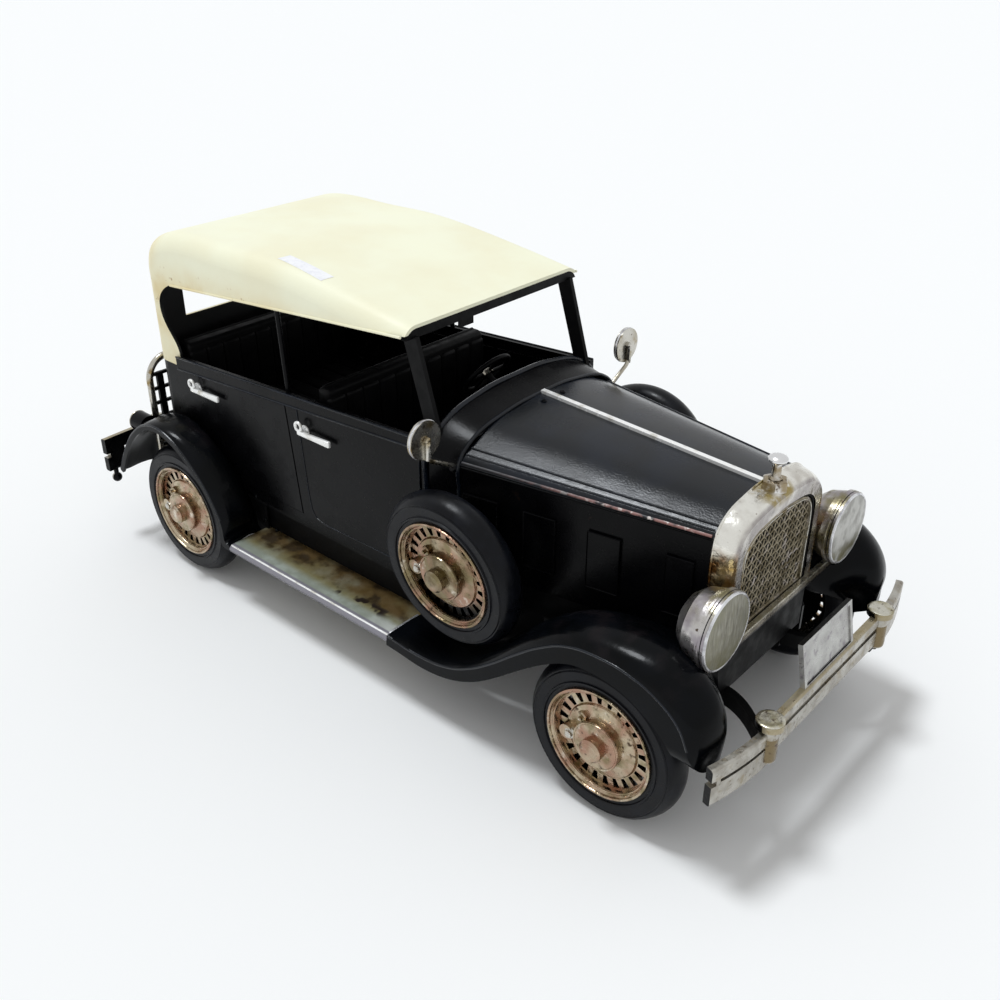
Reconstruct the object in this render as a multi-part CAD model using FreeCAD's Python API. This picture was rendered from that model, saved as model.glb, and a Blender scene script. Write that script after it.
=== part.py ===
# Tinplate model of a 1920s four-door touring car with a hard cream top.
# Millimetres. +X is the front of the car, +Y its left side, +Z up.
# The origin lies on the ground, under the middle of the car.
import FreeCAD, Part
import math
import os

V = FreeCAD.Vector

# Driving dimensions: lengths along the car
WHEELBASE = 179.7
FRONT_OVERHANG = 39.8      # from the front axle to the front tip of the bumper
REAR_OVERHANG = 45.5
LENGTH = WHEELBASE + FRONT_OVERHANG + REAR_OVERHANG
FRONT_AXLE_X = LENGTH / 2 - FRONT_OVERHANG
REAR_AXLE_X = REAR_OVERHANG - LENGTH / 2
HOOD_AHEAD = 11.3          # hood's front edge, ahead of the front axle
HOOD_LENGTH = 72.0
COWL_LENGTH = 10.7
BODY_BEHIND = 21.9         # back of the body, behind the rear axle
FRONT_DOOR_L = 57.9        # from the body's front edge to the middle of the side post
ROOF_BACK = 6.8            # roof's front edge, behind the body's front edge
HOOD_FRONT_X = FRONT_AXLE_X + HOOD_AHEAD
COWL_FRONT_X = HOOD_FRONT_X - HOOD_LENGTH
BODY_FRONT_X = COWL_FRONT_X - COWL_LENGTH
BODY_REAR_X = REAR_AXLE_X - BODY_BEHIND
POST_X = BODY_FRONT_X - FRONT_DOOR_L
ROOF_FRONT_X = BODY_FRONT_X - ROOF_BACK

# Sheet and fits
SHEET = 1.0                # thickness of the pressed tin
DOOR_GAP = 0.3             # seam around a door
CLEAR = 0.3                # clearance between curved neighbours
AXLE_PLAY = 0.05

# Wheels
TYRE_R = 23.5
TYRE_W = 9.0
RIM_R = 16.2
DISC_R = 14.4              # the dished disc inside the rim's lip
HUB_R = 7.0
CAP_R = 3.3
HUB_REACH = 4.0            # how far the hub cap stands out of the rim face
KNOB_R = 2.2
AXLE_R = 1.5
SLOT_COUNT = 24

# Widths
BODY_HALF_W = 38.0
FENDER_REACH = 14.0        # fender's outer face, outside the body
BOARD_LAP = 3.0            # how far the running board reaches under the body
HOOD_STEP = 2.8            # the hood's rear end is this much narrower than the body, each side
HOOD_FRONT_HALF = 22.8
RAIL_IN = 15.0
RAIL_W = 3.0
FENDER_OUT = BODY_HALF_W + FENDER_REACH
HOOD_REAR_HALF = BODY_HALF_W - HOOD_STEP
BOARD_IN = BODY_HALF_W - BOARD_LAP
RAIL_OUT = RAIL_IN + RAIL_W
RIM_FACE_Y = FENDER_OUT - 1.8
WHEEL_BACK = TYRE_W - 0.8
WHEEL_BACK_Y = RIM_FACE_Y - WHEEL_BACK

# Heights
AXLE_Z = TYRE_R
FLOOR_RISE = 9.9           # top of the floor above the axles
BOARD_DROP = 2.0           # top of the running boards below the axles
FLOOR_Z = AXLE_Z + FLOOR_RISE
BOARD_TOP_Z = AXLE_Z - BOARD_DROP
RAIL_TOP_Z = FLOOR_Z - SHEET
RAIL_LOW_Z = AXLE_Z - 3.5
BELT_REAR_H = 37.0         # underside of the belt rail above the floor, at the back
BELT_FRONT_H = 45.5
HOOD_SHOULDER_H = 43.4     # hood's shoulder above the floor
HOOD_CROWN = 9.9           # rise of the hood's rear end above the shoulder
HOOD_NOSE_DROP = 3.8       # the hood's top falls this much to the front
SHELL_PROUD = 1.3          # radiator shell's top above the hood's front end
ROOF_H = 85.0              # top of the roof above the floor
ROOF_EDGE_REAR = 18.4      # roof's side edge below its top, at the rear opening
ROOF_EDGE_FRONT = 9.0
SHOULDER_Z = FLOOR_Z + HOOD_SHOULDER_H
HOOD_TOP_Z = SHOULDER_Z + HOOD_CROWN
NOSE_TOP_Z = HOOD_TOP_Z - HOOD_NOSE_DROP

# Corners and small parts
BODY_CORNER_R = 6.0
BOARD_T = 3.0
FRONT_BUMPER_HALF = 52.3
REAR_BUMPER_HALF = 53.3
BAR_T = 2.2
CLAMP_Y = 30.6
CLAMP_DISC_R = 3.6
CLAMP_DRUM_R = 2.5
LAMP_R = 10.5
LAMP_Y = 31.8
GRILLE_RIM = 3.2           # width of the radiator shell's face around its opening
RADIATOR_L = 6.5
SPARE_LEAN = 5.0           # degrees, top outwards
FAR = 400.0                # reach of a plain cutting block

os.makedirs("parts", exist_ok=True)
pieces = {}


# Helpers
def polygon(points):
    return Part.Face(Part.makePolygon(points + [points[0]]))


def prism_y(points, y0, y1):
    """A plate between two y values, its outline given in x and z."""
    return polygon([V(x, y0, z) for x, z in points]).extrude(V(0, y1 - y0, 0))


def prism_x(points, x0, x1):
    """A plate between two x values, its outline given in y and z."""
    return polygon([V(x0, y, z) for y, z in points]).extrude(V(x1 - x0, 0, 0))


def prism_z(points, z0, z1):
    """A plate between two z values, its outline given in x and y."""
    return polygon([V(x, y, z0) for x, y in points]).extrude(V(0, 0, z1 - z0))


def box(x0, x1, y0, y1, z0, z1):
    return Part.makeBox(x1 - x0, y1 - y0, z1 - z0, V(x0, y0, z0))


def rod(start, end, radius):
    a = V(*start)
    b = V(*end)
    return Part.makeCylinder(radius, (b - a).Length, a, b - a)


def curve(points):
    spline = Part.BSplineCurve()
    spline.interpolate(points)
    return spline.toShape()


def line(a, b):
    return Part.LineSegment(a, b).toShape()


def left_of(shape):
    return shape.mirror(V(0, 0, 0), V(0, 1, 0))


def pair(name, right_shape):
    pieces[name + "_right"] = right_shape
    pieces[name + "_left"] = left_of(right_shape)


def biggest(shape):
    return max(shape.Solids, key=lambda s: s.Volume)


def spin_y(points):
    """A turned piece around the Y axis, its outline given in radius and y."""
    return polygon([V(r, y, 0) for r, y in points]).revolve(V(0, 0, 0), V(0, 1, 0), 360)


def spin_x(points):
    """A turned piece around the X axis, its outline given in x and radius."""
    return polygon([V(x, 0, r) for x, r in points]).revolve(V(0, 0, 0), V(1, 0, 0), 360)


def fuse(shapes):
    return shapes[0].fuse(shapes[1:]).removeSplitter()


def between(x, x0, v0, x1, v1):
    return v0 + (v1 - v0) * (x - x0) / (x1 - x0)


def bent_rod(points, radius, bend_r):
    """A round wire of straight runs joined by tangent arcs."""
    edges = []
    start = points[0]
    for i in range(1, len(points) - 1):
        corner = points[i]
        back = (points[i - 1] - corner).normalize()
        ahead = (points[i + 1] - corner).normalize()
        half_turn = (math.pi - back.getAngle(ahead)) / 2
        reach = bend_r * math.tan(half_turn)
        a = corner + back * reach
        b = corner + ahead * reach
        inward = (back + ahead).normalize()
        centre_far = bend_r / math.cos(half_turn)
        middle = corner + inward * (centre_far - bend_r)
        edges.append(line(start, a))
        edges.append(Part.Arc(a, middle, b).toShape())
        start = b
    edges.append(line(start, points[-1]))
    first = points[1] - points[0]
    ring = Part.Wire([Part.Circle(points[0], first, radius).toShape()])
    return Part.Wire(edges).makePipeShell([ring], True, False)


def belt_low(x):
    """Underside of the belt rail along the body's side."""
    return between(x, BODY_REAR_X + 5.4, FLOOR_Z + BELT_REAR_H, BODY_FRONT_X - 1.3, FLOOR_Z + BELT_FRONT_H)


def belt_top(x):
    rise = between(x, BODY_REAR_X + 5.4, 4.3, BODY_FRONT_X - 1.3, 3.1)
    return belt_low(x) + rise


def hood_y(x):
    """Distance of the hood's side from the middle."""
    return between(x, COWL_FRONT_X, HOOD_REAR_HALF, HOOD_FRONT_X, HOOD_FRONT_HALF)


def arch(axle_x, angle, outside):
    """A point around a wheel: degrees above the forward direction, distance outside the tyre."""
    reach = TYRE_R + outside
    return (axle_x + reach * math.cos(math.radians(angle)), AXLE_Z + reach * math.sin(math.radians(angle)))


# Wheels, built with the rim face at y = 0 and the hub towards -Y
def tyre():
    side = 0.3
    back = TYRE_W - side
    bead = RIM_R + 1.0
    wall = TYRE_R - 3.0
    ridge = bead + (wall - bead) * 0.55
    edges = [
        line(V(RIM_R, 0.2, 0), V(bead, 0.1, 0)),
        line(V(bead, 0.1, 0), V(bead + 0.4, -side, 0)),
        line(V(bead + 0.4, -side, 0), V(ridge, -side, 0)),
        line(V(ridge, -side, 0), V(ridge + 0.3, 0.05, 0)),
        line(V(ridge + 0.3, 0.05, 0), V(ridge + 0.8, 0.05, 0)),
        line(V(ridge + 0.8, 0.05, 0), V(ridge + 1.0, -side, 0)),
        line(V(ridge + 1.0, -side, 0), V(wall, -side, 0)),
        Part.Arc(V(wall, -side, 0), V(TYRE_R - 0.9, 0.8, 0), V(TYRE_R, 3.2, 0)).toShape(),
        line(V(TYRE_R, 3.2, 0), V(TYRE_R, back - 3.2, 0)),
        Part.Arc(V(TYRE_R, back - 3.2, 0), V(TYRE_R - 0.9, back - 0.8, 0), V(wall, back, 0)).toShape(),
        line(V(wall, back, 0), V(bead, back, 0)),
        line(V(bead, back, 0), V(RIM_R, back - 0.5, 0)),
        line(V(RIM_R, back - 0.5, 0), V(RIM_R, 0.2, 0)),
    ]
    return Part.Face(Part.Wire(edges)).revolve(V(0, 0, 0), V(0, 1, 0), 360)


def wheel():
    lip = RIM_R - 0.9
    rim_in = RIM_R - 0.8
    disc_y = 2.2
    disc_back = disc_y + SHEET
    hub_in = HUB_R + 4.0
    shell = spin_y([
        (0, -HUB_REACH), (CAP_R - 0.7, -HUB_REACH), (CAP_R, -HUB_REACH + 0.7), (CAP_R, -1.6),
        (HUB_R - 0.8, -1.4), (HUB_R, -0.7), (HUB_R, 0.9), (hub_in - 0.4, 1.6), (hub_in, disc_y),
        (DISC_R, disc_y), (DISC_R + 0.2, 1.1), (DISC_R + 0.5, 0.6), (lip, 0.0), (RIM_R, 0.0),
        (RIM_R, WHEEL_BACK), (rim_in, WHEEL_BACK), (rim_in, disc_back), (CAP_R + 0.1, disc_back),
        (CAP_R + 0.1, WHEEL_BACK), (0, WHEEL_BACK),
    ])
    knob_at = (HUB_R + DISC_R) / 2 - 1.1
    knob = Part.makeCylinder(KNOB_R, 2.6, V(-knob_at, 2.0, -0.8), V(0, -1, 0))
    slot_in = hub_in + 0.2
    slot_out = DISC_R - 0.5
    slot = prism_y([(slot_in, -0.55), (slot_out, -1.0), (slot_out, 1.0), (slot_in, 0.55)], -1.0, 5.0)
    slots = []
    for i in range(SLOT_COUNT):
        turn = slot.copy()
        turn.rotate(V(0, 0, 0), V(0, 1, 0), 360.0 / SLOT_COUNT * (i + 0.5))
        slots.append(turn)
    bore = Part.makeCylinder(AXLE_R + AXLE_PLAY, WHEEL_BACK + 2, V(0, 1.4, 0), V(0, 1, 0))
    body = shell.cut(Part.makeCompound(slots))
    return fuse([body, knob]).cut(bore)


def placed(shape, x, z):
    moved = shape.copy()
    moved.translate(V(x, -RIM_FACE_Y, z))
    return moved


TYRE = tyre()
WHEEL = wheel()
AXLES = (("front", FRONT_AXLE_X), ("rear", REAR_AXLE_X))
for place, axle_x in AXLES:
    pair("tyre_" + place, placed(TYRE, axle_x, AXLE_Z))
    pair("wheel_" + place, placed(WHEEL, axle_x, AXLE_Z))

# Axles and chassis
AXLE_TIP = RIM_FACE_Y - 1.7
for place, axle_x in AXLES:
    bar = rod((axle_x, -AXLE_TIP, AXLE_Z), (axle_x, AXLE_TIP, AXLE_Z), AXLE_R)
    collar = rod((axle_x, 2.0 - WHEEL_BACK_Y, AXLE_Z), (axle_x, -RAIL_OUT, AXLE_Z), AXLE_R + 1.1)
    pieces[place + "_axle"] = fuse([bar, collar, left_of(collar)])

CLAMP_X = LENGTH / 2 - CLAMP_DISC_R
FRAME_FRONT_X = HOOD_FRONT_X + 4.0
FRAME_REAR_X = BODY_REAR_X - 3.0
rails = box(FRAME_REAR_X, FRAME_FRONT_X, -RAIL_OUT, -RAIL_IN, RAIL_LOW_Z, RAIL_TOP_Z)
frame = [rails, left_of(rails)]
CROSSBAR = 3.0
for x in (FRAME_REAR_X, POST_X - 3.4, COWL_FRONT_X - 2.0):
    frame.append(box(x, x + CROSSBAR, -RAIL_OUT, RAIL_OUT, RAIL_LOW_Z + 2, RAIL_TOP_Z))
PAN_X = FRAME_FRONT_X + 1.5
PAN_LOW_Z = FLOOR_Z - 3.4
PAN_TOP_Z = FLOOR_Z + 10.6
ARM_LOW_Z = FLOOR_Z - 7.6
ARM_TOP_Z = ARM_LOW_Z + 4.6
frame.append(box(FRAME_FRONT_X - CROSSBAR, FRAME_FRONT_X, -RAIL_OUT, RAIL_OUT, PAN_LOW_Z, RAIL_TOP_Z))
frame.append(box(FRAME_FRONT_X, PAN_X, -HOOD_FRONT_HALF, HOOD_FRONT_HALF, PAN_LOW_Z, PAN_TOP_Z))


def bumper_arm(sign, x_rail, x_clamp):
    """A flat band on edge that curves out from the rail's end to the clamp."""
    run = abs(x_clamp - x_rail)
    outer = [(0.0, RAIL_OUT), (0.3 * run, RAIL_OUT + 0.8),
             (0.68 * run, between(0.5, 0, RAIL_OUT, 1, CLAMP_Y)),
             (run, CLAMP_Y + 0.6)]
    thick = 2.4
    top = [V(x_rail + sign * x, -y, ARM_LOW_Z) for x, y in outer]
    low = [V(x_rail + sign * x, -y + thick, ARM_LOW_Z) for x, y in outer]
    wire = Part.Wire([curve(top), line(top[-1], low[-1]), curve(list(reversed(low))), line(low[0], top[0])])
    return Part.Face(wire).extrude(V(0, 0, ARM_TOP_Z - ARM_LOW_Z))


for sign, x_rail in ((1, FRAME_FRONT_X - 2.0), (-1, FRAME_REAR_X + 2.0)):
    arm = bumper_arm(sign, x_rail, sign * CLAMP_X)
    frame += [arm, left_of(arm)]
axle_holes = [rod((x, -RAIL_OUT - 9, AXLE_Z), (x, RAIL_OUT + 9, AXLE_Z), AXLE_R) for name, x in AXLES]
# The rails' front ends rise to the bumper arms
horn_room = prism_y([(FRAME_FRONT_X - 12.0, RAIL_LOW_Z - 1), (FRAME_FRONT_X + 1, ARM_LOW_Z),
                     (FRAME_FRONT_X + 1, RAIL_LOW_Z - 1)], -RAIL_OUT - 0.1, RAIL_OUT + 0.1)
chassis = fuse(frame).cut(axle_holes + [horn_room])


def round_rear(solid, radius):
    """Round the two upright edges at the rear of the body."""
    upright = [e for e in solid.Edges
               if abs(e.Vertexes[0].X - e.Vertexes[-1].X) < 0.01
               and abs(e.Vertexes[0].Y - e.Vertexes[-1].Y) < 0.01
               and e.Vertexes[0].X < REAR_AXLE_X]
    return solid.makeFillet(radius, upright)


body_plan = [(BODY_REAR_X, -BODY_HALF_W), (BODY_FRONT_X, -BODY_HALF_W),
             (COWL_FRONT_X, -HOOD_REAR_HALF), (COWL_FRONT_X, HOOD_REAR_HALF),
             (BODY_FRONT_X, BODY_HALF_W), (BODY_REAR_X, BODY_HALF_W)]
floor = round_rear(prism_z(body_plan, RAIL_TOP_Z, FLOOR_Z), BODY_CORNER_R)

# Running boards with a rolled outer edge, and the aprons that hang behind them
BOARD_FRONT_X = BODY_FRONT_X - 4.3
BOARD_REAR_X = REAR_AXLE_X + 27.7
BOARD_LOW_Z = BOARD_TOP_Z - BOARD_T
ROLL_R = BOARD_T / 2
roll_y = FENDER_OUT - ROLL_R
board = box(BOARD_REAR_X, BOARD_FRONT_X, -roll_y, -BOARD_IN, BOARD_LOW_Z, BOARD_TOP_Z)
roll_z = BOARD_LOW_Z + ROLL_R
roll = rod((BOARD_REAR_X, -roll_y, roll_z), (BOARD_FRONT_X, -roll_y, roll_z), ROLL_R)
pair("running_board", fuse([board, roll]))
apron = box(BOARD_REAR_X - 4.0, BOARD_FRONT_X + 13.0, -BOARD_IN, -BOARD_IN + SHEET, BOARD_LOW_Z, RAIL_TOP_Z)
pieces["floor_pan"] = fuse([floor, apron, left_of(apron)])


# Fenders: one pressed sheet each, drawn through sections square to its edge line
CROWN_IN = 10.5            # the crown lies this far inside the outer face


def fender_sheet(path):
    """Each station: x and z of the edge line, lip, crown, inner edge's y and height, height half-way in."""
    spline = Part.BSplineCurve()
    spline.interpolate([V(x, 0, z) for x, z, lip, crown, y_in, fall, mid in path])
    out = FENDER_OUT
    wires = []
    for x, z, lip, crown, y_in, fall, mid in path:
        at = V(x, 0, z)
        tangent = spline.tangent(spline.parameter(at))[0]
        normal = V(-tangent.z, 0, tangent.x)

        def point(y, n):
            return at + normal * n + V(0, -y, 0)

        crown_y = out - CROWN_IN
        mid_y = y_in + (crown_y - y_in) * 0.45
        top = [(out, 0.0), (out - 1.6, crown * 0.55), (out - 5.5, crown * 0.93), (crown_y, crown),
               (mid_y, mid), (y_in, fall)]
        low = [(out - SHEET, -0.5), (out - 2.3, crown * 0.55 - SHEET), (out - 5.8, crown * 0.93 - SHEET),
               (crown_y, crown - SHEET), (mid_y, mid - SHEET), (y_in, fall - SHEET)]
        edges = [
            line(point(out, -lip), point(out, 0)),
            curve([point(y, n) for y, n in top]),
            line(point(*top[-1]), point(*low[-1])),
            curve([point(y, n) for y, n in reversed(low)]),
            line(point(*low[0]), point(out - SHEET, -lip)),
            line(point(out - SHEET, -lip), point(out, -lip)),
        ]
        wires.append(Part.Wire(edges))
    return Part.makeLoft(wires, True, False)


def hood_side_y(x):
    """Where a fender's inner edge meets the body, the cowl or the hood."""
    if x < COWL_FRONT_X:
        return BOARD_IN
    return min(BOARD_IN, hood_y(min(x, HOOD_FRONT_X)) + CLEAR)


def front_station(point, lip, crown, fall, mid, y_in=None):
    x, z = point
    if y_in is None:
        y_in = hood_side_y(x)
    return (x, z, lip, crown, y_in, fall, mid)


TIP_ANGLE = 14.5           # lower end of the front fender, degrees above the axle
TIP_OUTSIDE = 4.8
FRONT_FENDER = [
    front_station((BOARD_FRONT_X, BOARD_TOP_Z), 3.4, 0.6, 0.0, 0.3),
    front_station((BOARD_FRONT_X + 13.0, BOARD_TOP_Z - 0.7), 3.6, 0.8, 0.0, 0.4),
    front_station(arch(FRONT_AXLE_X, 181.2, 28.2), 3.8, 1.2, -0.4, 0.5),
    front_station(arch(FRONT_AXLE_X, 175.8, 19.3), 4.0, 1.8, -1.0, 0.7),
    front_station(arch(FRONT_AXLE_X, 165.6, 12.3), 4.0, 2.6, -1.8, 0.9),
    front_station(arch(FRONT_AXLE_X, 149.4, 7.5), 4.2, 3.4, -2.6, 1.1),
    front_station(arch(FRONT_AXLE_X, 128.5, 5.4), 4.6, 3.8, -3.4, 1.2),
    front_station(arch(FRONT_AXLE_X, 109.7, 5.3), 5.0, 4.0, -4.0, 1.0),
    front_station(arch(FRONT_AXLE_X, 89.4, 5.2), 5.6, 4.4, -4.6, 0.0),
    front_station(arch(FRONT_AXLE_X, 71.2, 6.0), 6.4, 5.2, -5.4, -1.6),
    front_station(arch(FRONT_AXLE_X, 55.4, 7.0), 7.2, 6.2, -6.0, -2.8),
    front_station(arch(FRONT_AXLE_X, 40.8, 7.5), 7.0, 5.8, -6.0, -2.6, FENDER_OUT - 26.0),
    front_station(arch(FRONT_AXLE_X, 27.8, 6.5), 5.6, 4.2, -4.0, -1.4, FENDER_OUT - 20.0),
    front_station(arch(FRONT_AXLE_X, TIP_ANGLE, TIP_OUTSIDE), 4.4, 2.4, -1.5, 0.2, FENDER_OUT - 16.5),
]
front_sheet = fender_sheet(FRONT_FENDER)
corner_z = arch(FRONT_AXLE_X, TIP_ANGLE, TIP_OUTSIDE)[1] - 0.4
corner_r = 7.0
tip_x = FRONT_AXLE_X + 15
corner = box(tip_x, tip_x + 40, -FENDER_OUT - 1, -FENDER_OUT + corner_r, corner_z - 9, corner_z + corner_r)
corner = corner.cut(rod((tip_x, corner_r - FENDER_OUT, corner_z + corner_r),
                        (tip_x + 40, corner_r - FENDER_OUT, corner_z + corner_r), corner_r))
front_sheet = biggest(front_sheet.cut(corner))

WALL_BACK_X = FRONT_AXLE_X - 32.7
WALL_TIP_X = FRONT_AXLE_X + 17.0
wall_line = [(x, hood_side_y(x)) for x in (WALL_BACK_X, HOOD_FRONT_X, WALL_TIP_X)]
wall_plan = [(x, -y) for x, y in wall_line] + [(x, -y - SHEET) for x, y in reversed(wall_line)]
wall_arc = [arch(FRONT_AXLE_X, 166.0, 10.8), arch(FRONT_AXLE_X, 149.0, 4.4), arch(FRONT_AXLE_X, 128.5, 2.2),
            arch(FRONT_AXLE_X, 109.7, 1.4), arch(FRONT_AXLE_X, 89.4, 0.6), arch(FRONT_AXLE_X, 71.2, 0.6),
            arch(FRONT_AXLE_X, 58.0, 1.0)]
WALL_LOW_Z = AXLE_Z + 4.0
wall_side = [(WALL_BACK_X, WALL_LOW_Z)] + wall_arc + [(WALL_TIP_X, AXLE_Z + 12.0), (WALL_TIP_X, WALL_LOW_Z)]
front_wall = prism_z(wall_plan, 0, FLOOR_Z + 40).common(prism_y(wall_side, -FENDER_OUT - 8, 0))
front_fender = fuse([front_sheet, front_wall])


def rear_station(angle, outside, crown, fall, mid, lip=1.8):
    x, z = arch(REAR_AXLE_X, angle, outside)
    return (x, z, lip, crown, BODY_HALF_W, fall, mid)


REAR_FENDER = [
    rear_station(172.9, 12.9, 0.4, -0.6, 0.1, 1.6),
    rear_station(161.3, 10.8, 0.8, -1.2, 0.2),
    rear_station(147.0, 9.5, 1.0, -1.6, 0.2),
    rear_station(132.4, 9.1, 1.0, -1.8, 0.2),
    rear_station(116.6, 8.9, 1.0, -2.0, 0.2),
    rear_station(101.2, 7.5, 1.2, -2.0, 0.3),
    rear_station(87.8, 5.2, 2.0, -2.0, 0.6),
    rear_station(74.0, 2.9, 2.6, -1.6, 0.9),
    rear_station(60.0, 1.2, 3.0, -1.2, 1.2),
    rear_station(43.2, 0.5, 3.2, -0.8, 1.4),
    rear_station(27.4, 0.5, 3.0, -0.4, 1.3),
    rear_station(13.9, 1.4, 2.2, -0.2, 0.9),
    (BOARD_REAR_X - 2.6, BOARD_TOP_Z + 4.0, 2.2, 1.2, BODY_HALF_W, 0.0, 0.5),
    (BOARD_REAR_X + 3.8, BOARD_TOP_Z + 1.0, 2.2, 0.8, BODY_HALF_W, 0.0, 0.3),
]
rear_sheet = fender_sheet(REAR_FENDER)
rear_fender = rear_sheet.common(box(-FAR, BOARD_REAR_X, -FAR, 0, BOARD_LOW_Z, FAR))

# Body tub with its door openings and belt rail
inside = BODY_HALF_W - SHEET
shell = round_rear(prism_z([(BODY_REAR_X, -BODY_HALF_W), (BODY_FRONT_X, -BODY_HALF_W),
                            (BODY_FRONT_X, BODY_HALF_W), (BODY_REAR_X, BODY_HALF_W)],
                           FLOOR_Z, FLOOR_Z + BELT_FRONT_H + 8), BODY_CORNER_R)
hollow = round_rear(prism_z([(BODY_REAR_X + SHEET, -inside), (BODY_FRONT_X + 1, -inside),
                             (BODY_FRONT_X + 1, inside), (BODY_REAR_X + SHEET, inside)],
                            FLOOR_Z - 1, FLOOR_Z + BELT_FRONT_H + 9), BODY_CORNER_R - SHEET)
QUARTER_X = REAR_AXLE_X - 9.0     # behind this the roof's quarter reaches lower


def tub_top(low_z):
    """Outline of all that lies above the tub's top edge (or between it and low_z)."""
    return [(-FAR, belt_low(QUARTER_X) + 0.8), (QUARTER_X, belt_low(QUARTER_X) + 0.8),
            (QUARTER_X, belt_top(QUARTER_X)), (FAR, belt_top(FAR)), (FAR, low_z), (-FAR, low_z)]


ABOVE_BELT = prism_y(tub_top(FAR), -FAR, FAR)
BELOW_BELT = prism_y(tub_top(-FAR), -FAR, FAR)
REAR_DOOR = [(POST_X - 2.6, belt_low(POST_X - 2.6)), (POST_X, FLOOR_Z + 16.6), (POST_X + 1.4, FLOOR_Z + 3.6),
             arch(REAR_AXLE_X, 30.4, 3.2), arch(REAR_AXLE_X, 48.2, 2.0), arch(REAR_AXLE_X, 67.3, 3.7),
             arch(REAR_AXLE_X, 84.0, 5.2), arch(REAR_AXLE_X, 94.1, 7.1),
             (REAR_AXLE_X - 2.6, FLOOR_Z + 27.6), (REAR_AXLE_X - 1.0, belt_low(REAR_AXLE_X - 1.0))]
FRONT_DOOR = [(BODY_FRONT_X - 1.3, belt_low(BODY_FRONT_X - 1.3)), (BODY_FRONT_X - 1.3, FLOOR_Z + 4.0),
              (POST_X + 12.6, FLOOR_Z + 3.0), (POST_X + 8.0, FLOOR_Z + 3.8), (POST_X + 5.6, FLOOR_Z + 6.6),
              (POST_X + 4.7, FLOOR_Z + 12.6), (POST_X + 3.4, FLOOR_Z + 29.6),
              (POST_X + 2.6, belt_low(POST_X + 2.6))]
RAIL_OUTSIDE = 0.8         # the belt rail stands this far out of the side
rail = prism_y([(QUARTER_X, belt_low(QUARTER_X)), (BODY_FRONT_X, belt_low(BODY_FRONT_X)),
                (BODY_FRONT_X, belt_top(BODY_FRONT_X)), (QUARTER_X, belt_top(QUARTER_X))],
               -BODY_HALF_W - RAIL_OUTSIDE, -BODY_HALF_W)
ROOF_TOP_Z = FLOOR_Z + ROOF_H


def roof_low(x):
    """Side edge of the roof above the windows."""
    return between(x, BODY_REAR_X + 11.5, ROOF_TOP_Z - ROOF_EDGE_REAR,
                   ROOF_FRONT_X - 2.5, ROOF_TOP_Z - ROOF_EDGE_FRONT)


roof_post = rod((POST_X - 2.0, 1.4 - BODY_HALF_W, belt_top(POST_X - 2.0) - 1.0),
                (POST_X - 3.6, 1.4 - BODY_HALF_W, roof_low(POST_X - 3.6) - 0.05), 0.8)
tub = shell.cut(hollow).cut(ABOVE_BELT)
for outline in (REAR_DOOR, FRONT_DOOR):
    tub = tub.cut(prism_y(outline, -FAR, FAR))
pieces["body_tub"] = fuse([tub, rail, left_of(rail), roof_post, left_of(roof_post)])


def door(outline):
    wire = Part.makePolygon([V(x, 0, z) for x, z in outline + [outline[0]]])
    inner = Part.Face(wire.makeOffset2D(-DOOR_GAP))
    plate = inner.extrude(V(0, SHEET + 0.2, 0))
    plate.translate(V(0, -BODY_HALF_W - 0.2, 0))
    return plate


pair("front_door", door(FRONT_DOOR))
pair("rear_door", door(REAR_DOOR))


# Cowl: top and both sides, between the body and the hood
def cowl_wire(x, half, shoulder_y, shoulder_z, crown, centre, inset):
    mid = [(half - inset, shoulder_z), (shoulder_y, crown - inset * 0.7),
           (shoulder_y * 0.5, centre - (centre - crown) * 0.15 - inset), (0, centre - inset)]
    spline = [V(x, -y, z) for y, z in mid] + [V(x, y, z) for y, z in reversed(mid[:-1])]
    edges = [
        line(V(x, -half + inset, FLOOR_Z), spline[0]),
        curve(spline),
        line(spline[-1], V(x, half - inset, FLOOR_Z)),
        line(V(x, half - inset, FLOOR_Z), V(x, -half + inset, FLOOR_Z)),
    ]
    return Part.Wire(edges)


COWL_RISE = 2.8            # the cowl rises this much from the hood to the body
COWL_TOP_Z = HOOD_TOP_Z + COWL_RISE


def cowl_solid(inset):
    shoulder_y = HOOD_REAR_HALF - 4.2
    rear = cowl_wire(BODY_FRONT_X, BODY_HALF_W, shoulder_y, SHOULDER_Z + 0.9,
                     COWL_TOP_Z - 5.2, COWL_TOP_Z, inset)
    front = cowl_wire(COWL_FRONT_X, HOOD_REAR_HALF, shoulder_y, SHOULDER_Z - 0.2, HOOD_TOP_Z - 5.1,
                      HOOD_TOP_Z, inset)
    return Part.makeLoft([rear, front], True, True)


cowl_outer = cowl_solid(0.0)
pieces["cowl"] = cowl_outer.cut(cowl_solid(SHEET)).cut(box(-FAR, FAR, -FAR, FAR, -FAR, FLOOR_Z))
wall_half = HOOD_REAR_HALF - SHEET - 0.2
firewall_x = COWL_FRONT_X - 1.6
dash_x = BODY_FRONT_X + 0.7
firewall = box(firewall_x, firewall_x + SHEET, -wall_half, wall_half, FLOOR_Z, SHOULDER_Z - 0.7)
dash_half = BODY_HALF_W - SHEET - 1.5
dash = box(dash_x, dash_x + SHEET, -dash_half, dash_half, SHOULDER_Z - 7.7, SHOULDER_Z - 0.7)
tie = box(dash_x, firewall_x + 0.6, -wall_half, wall_half, SHOULDER_Z - 7.7, SHOULDER_Z - 6.7)
pieces["bulkhead"] = fuse([firewall, dash, tie])

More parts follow.
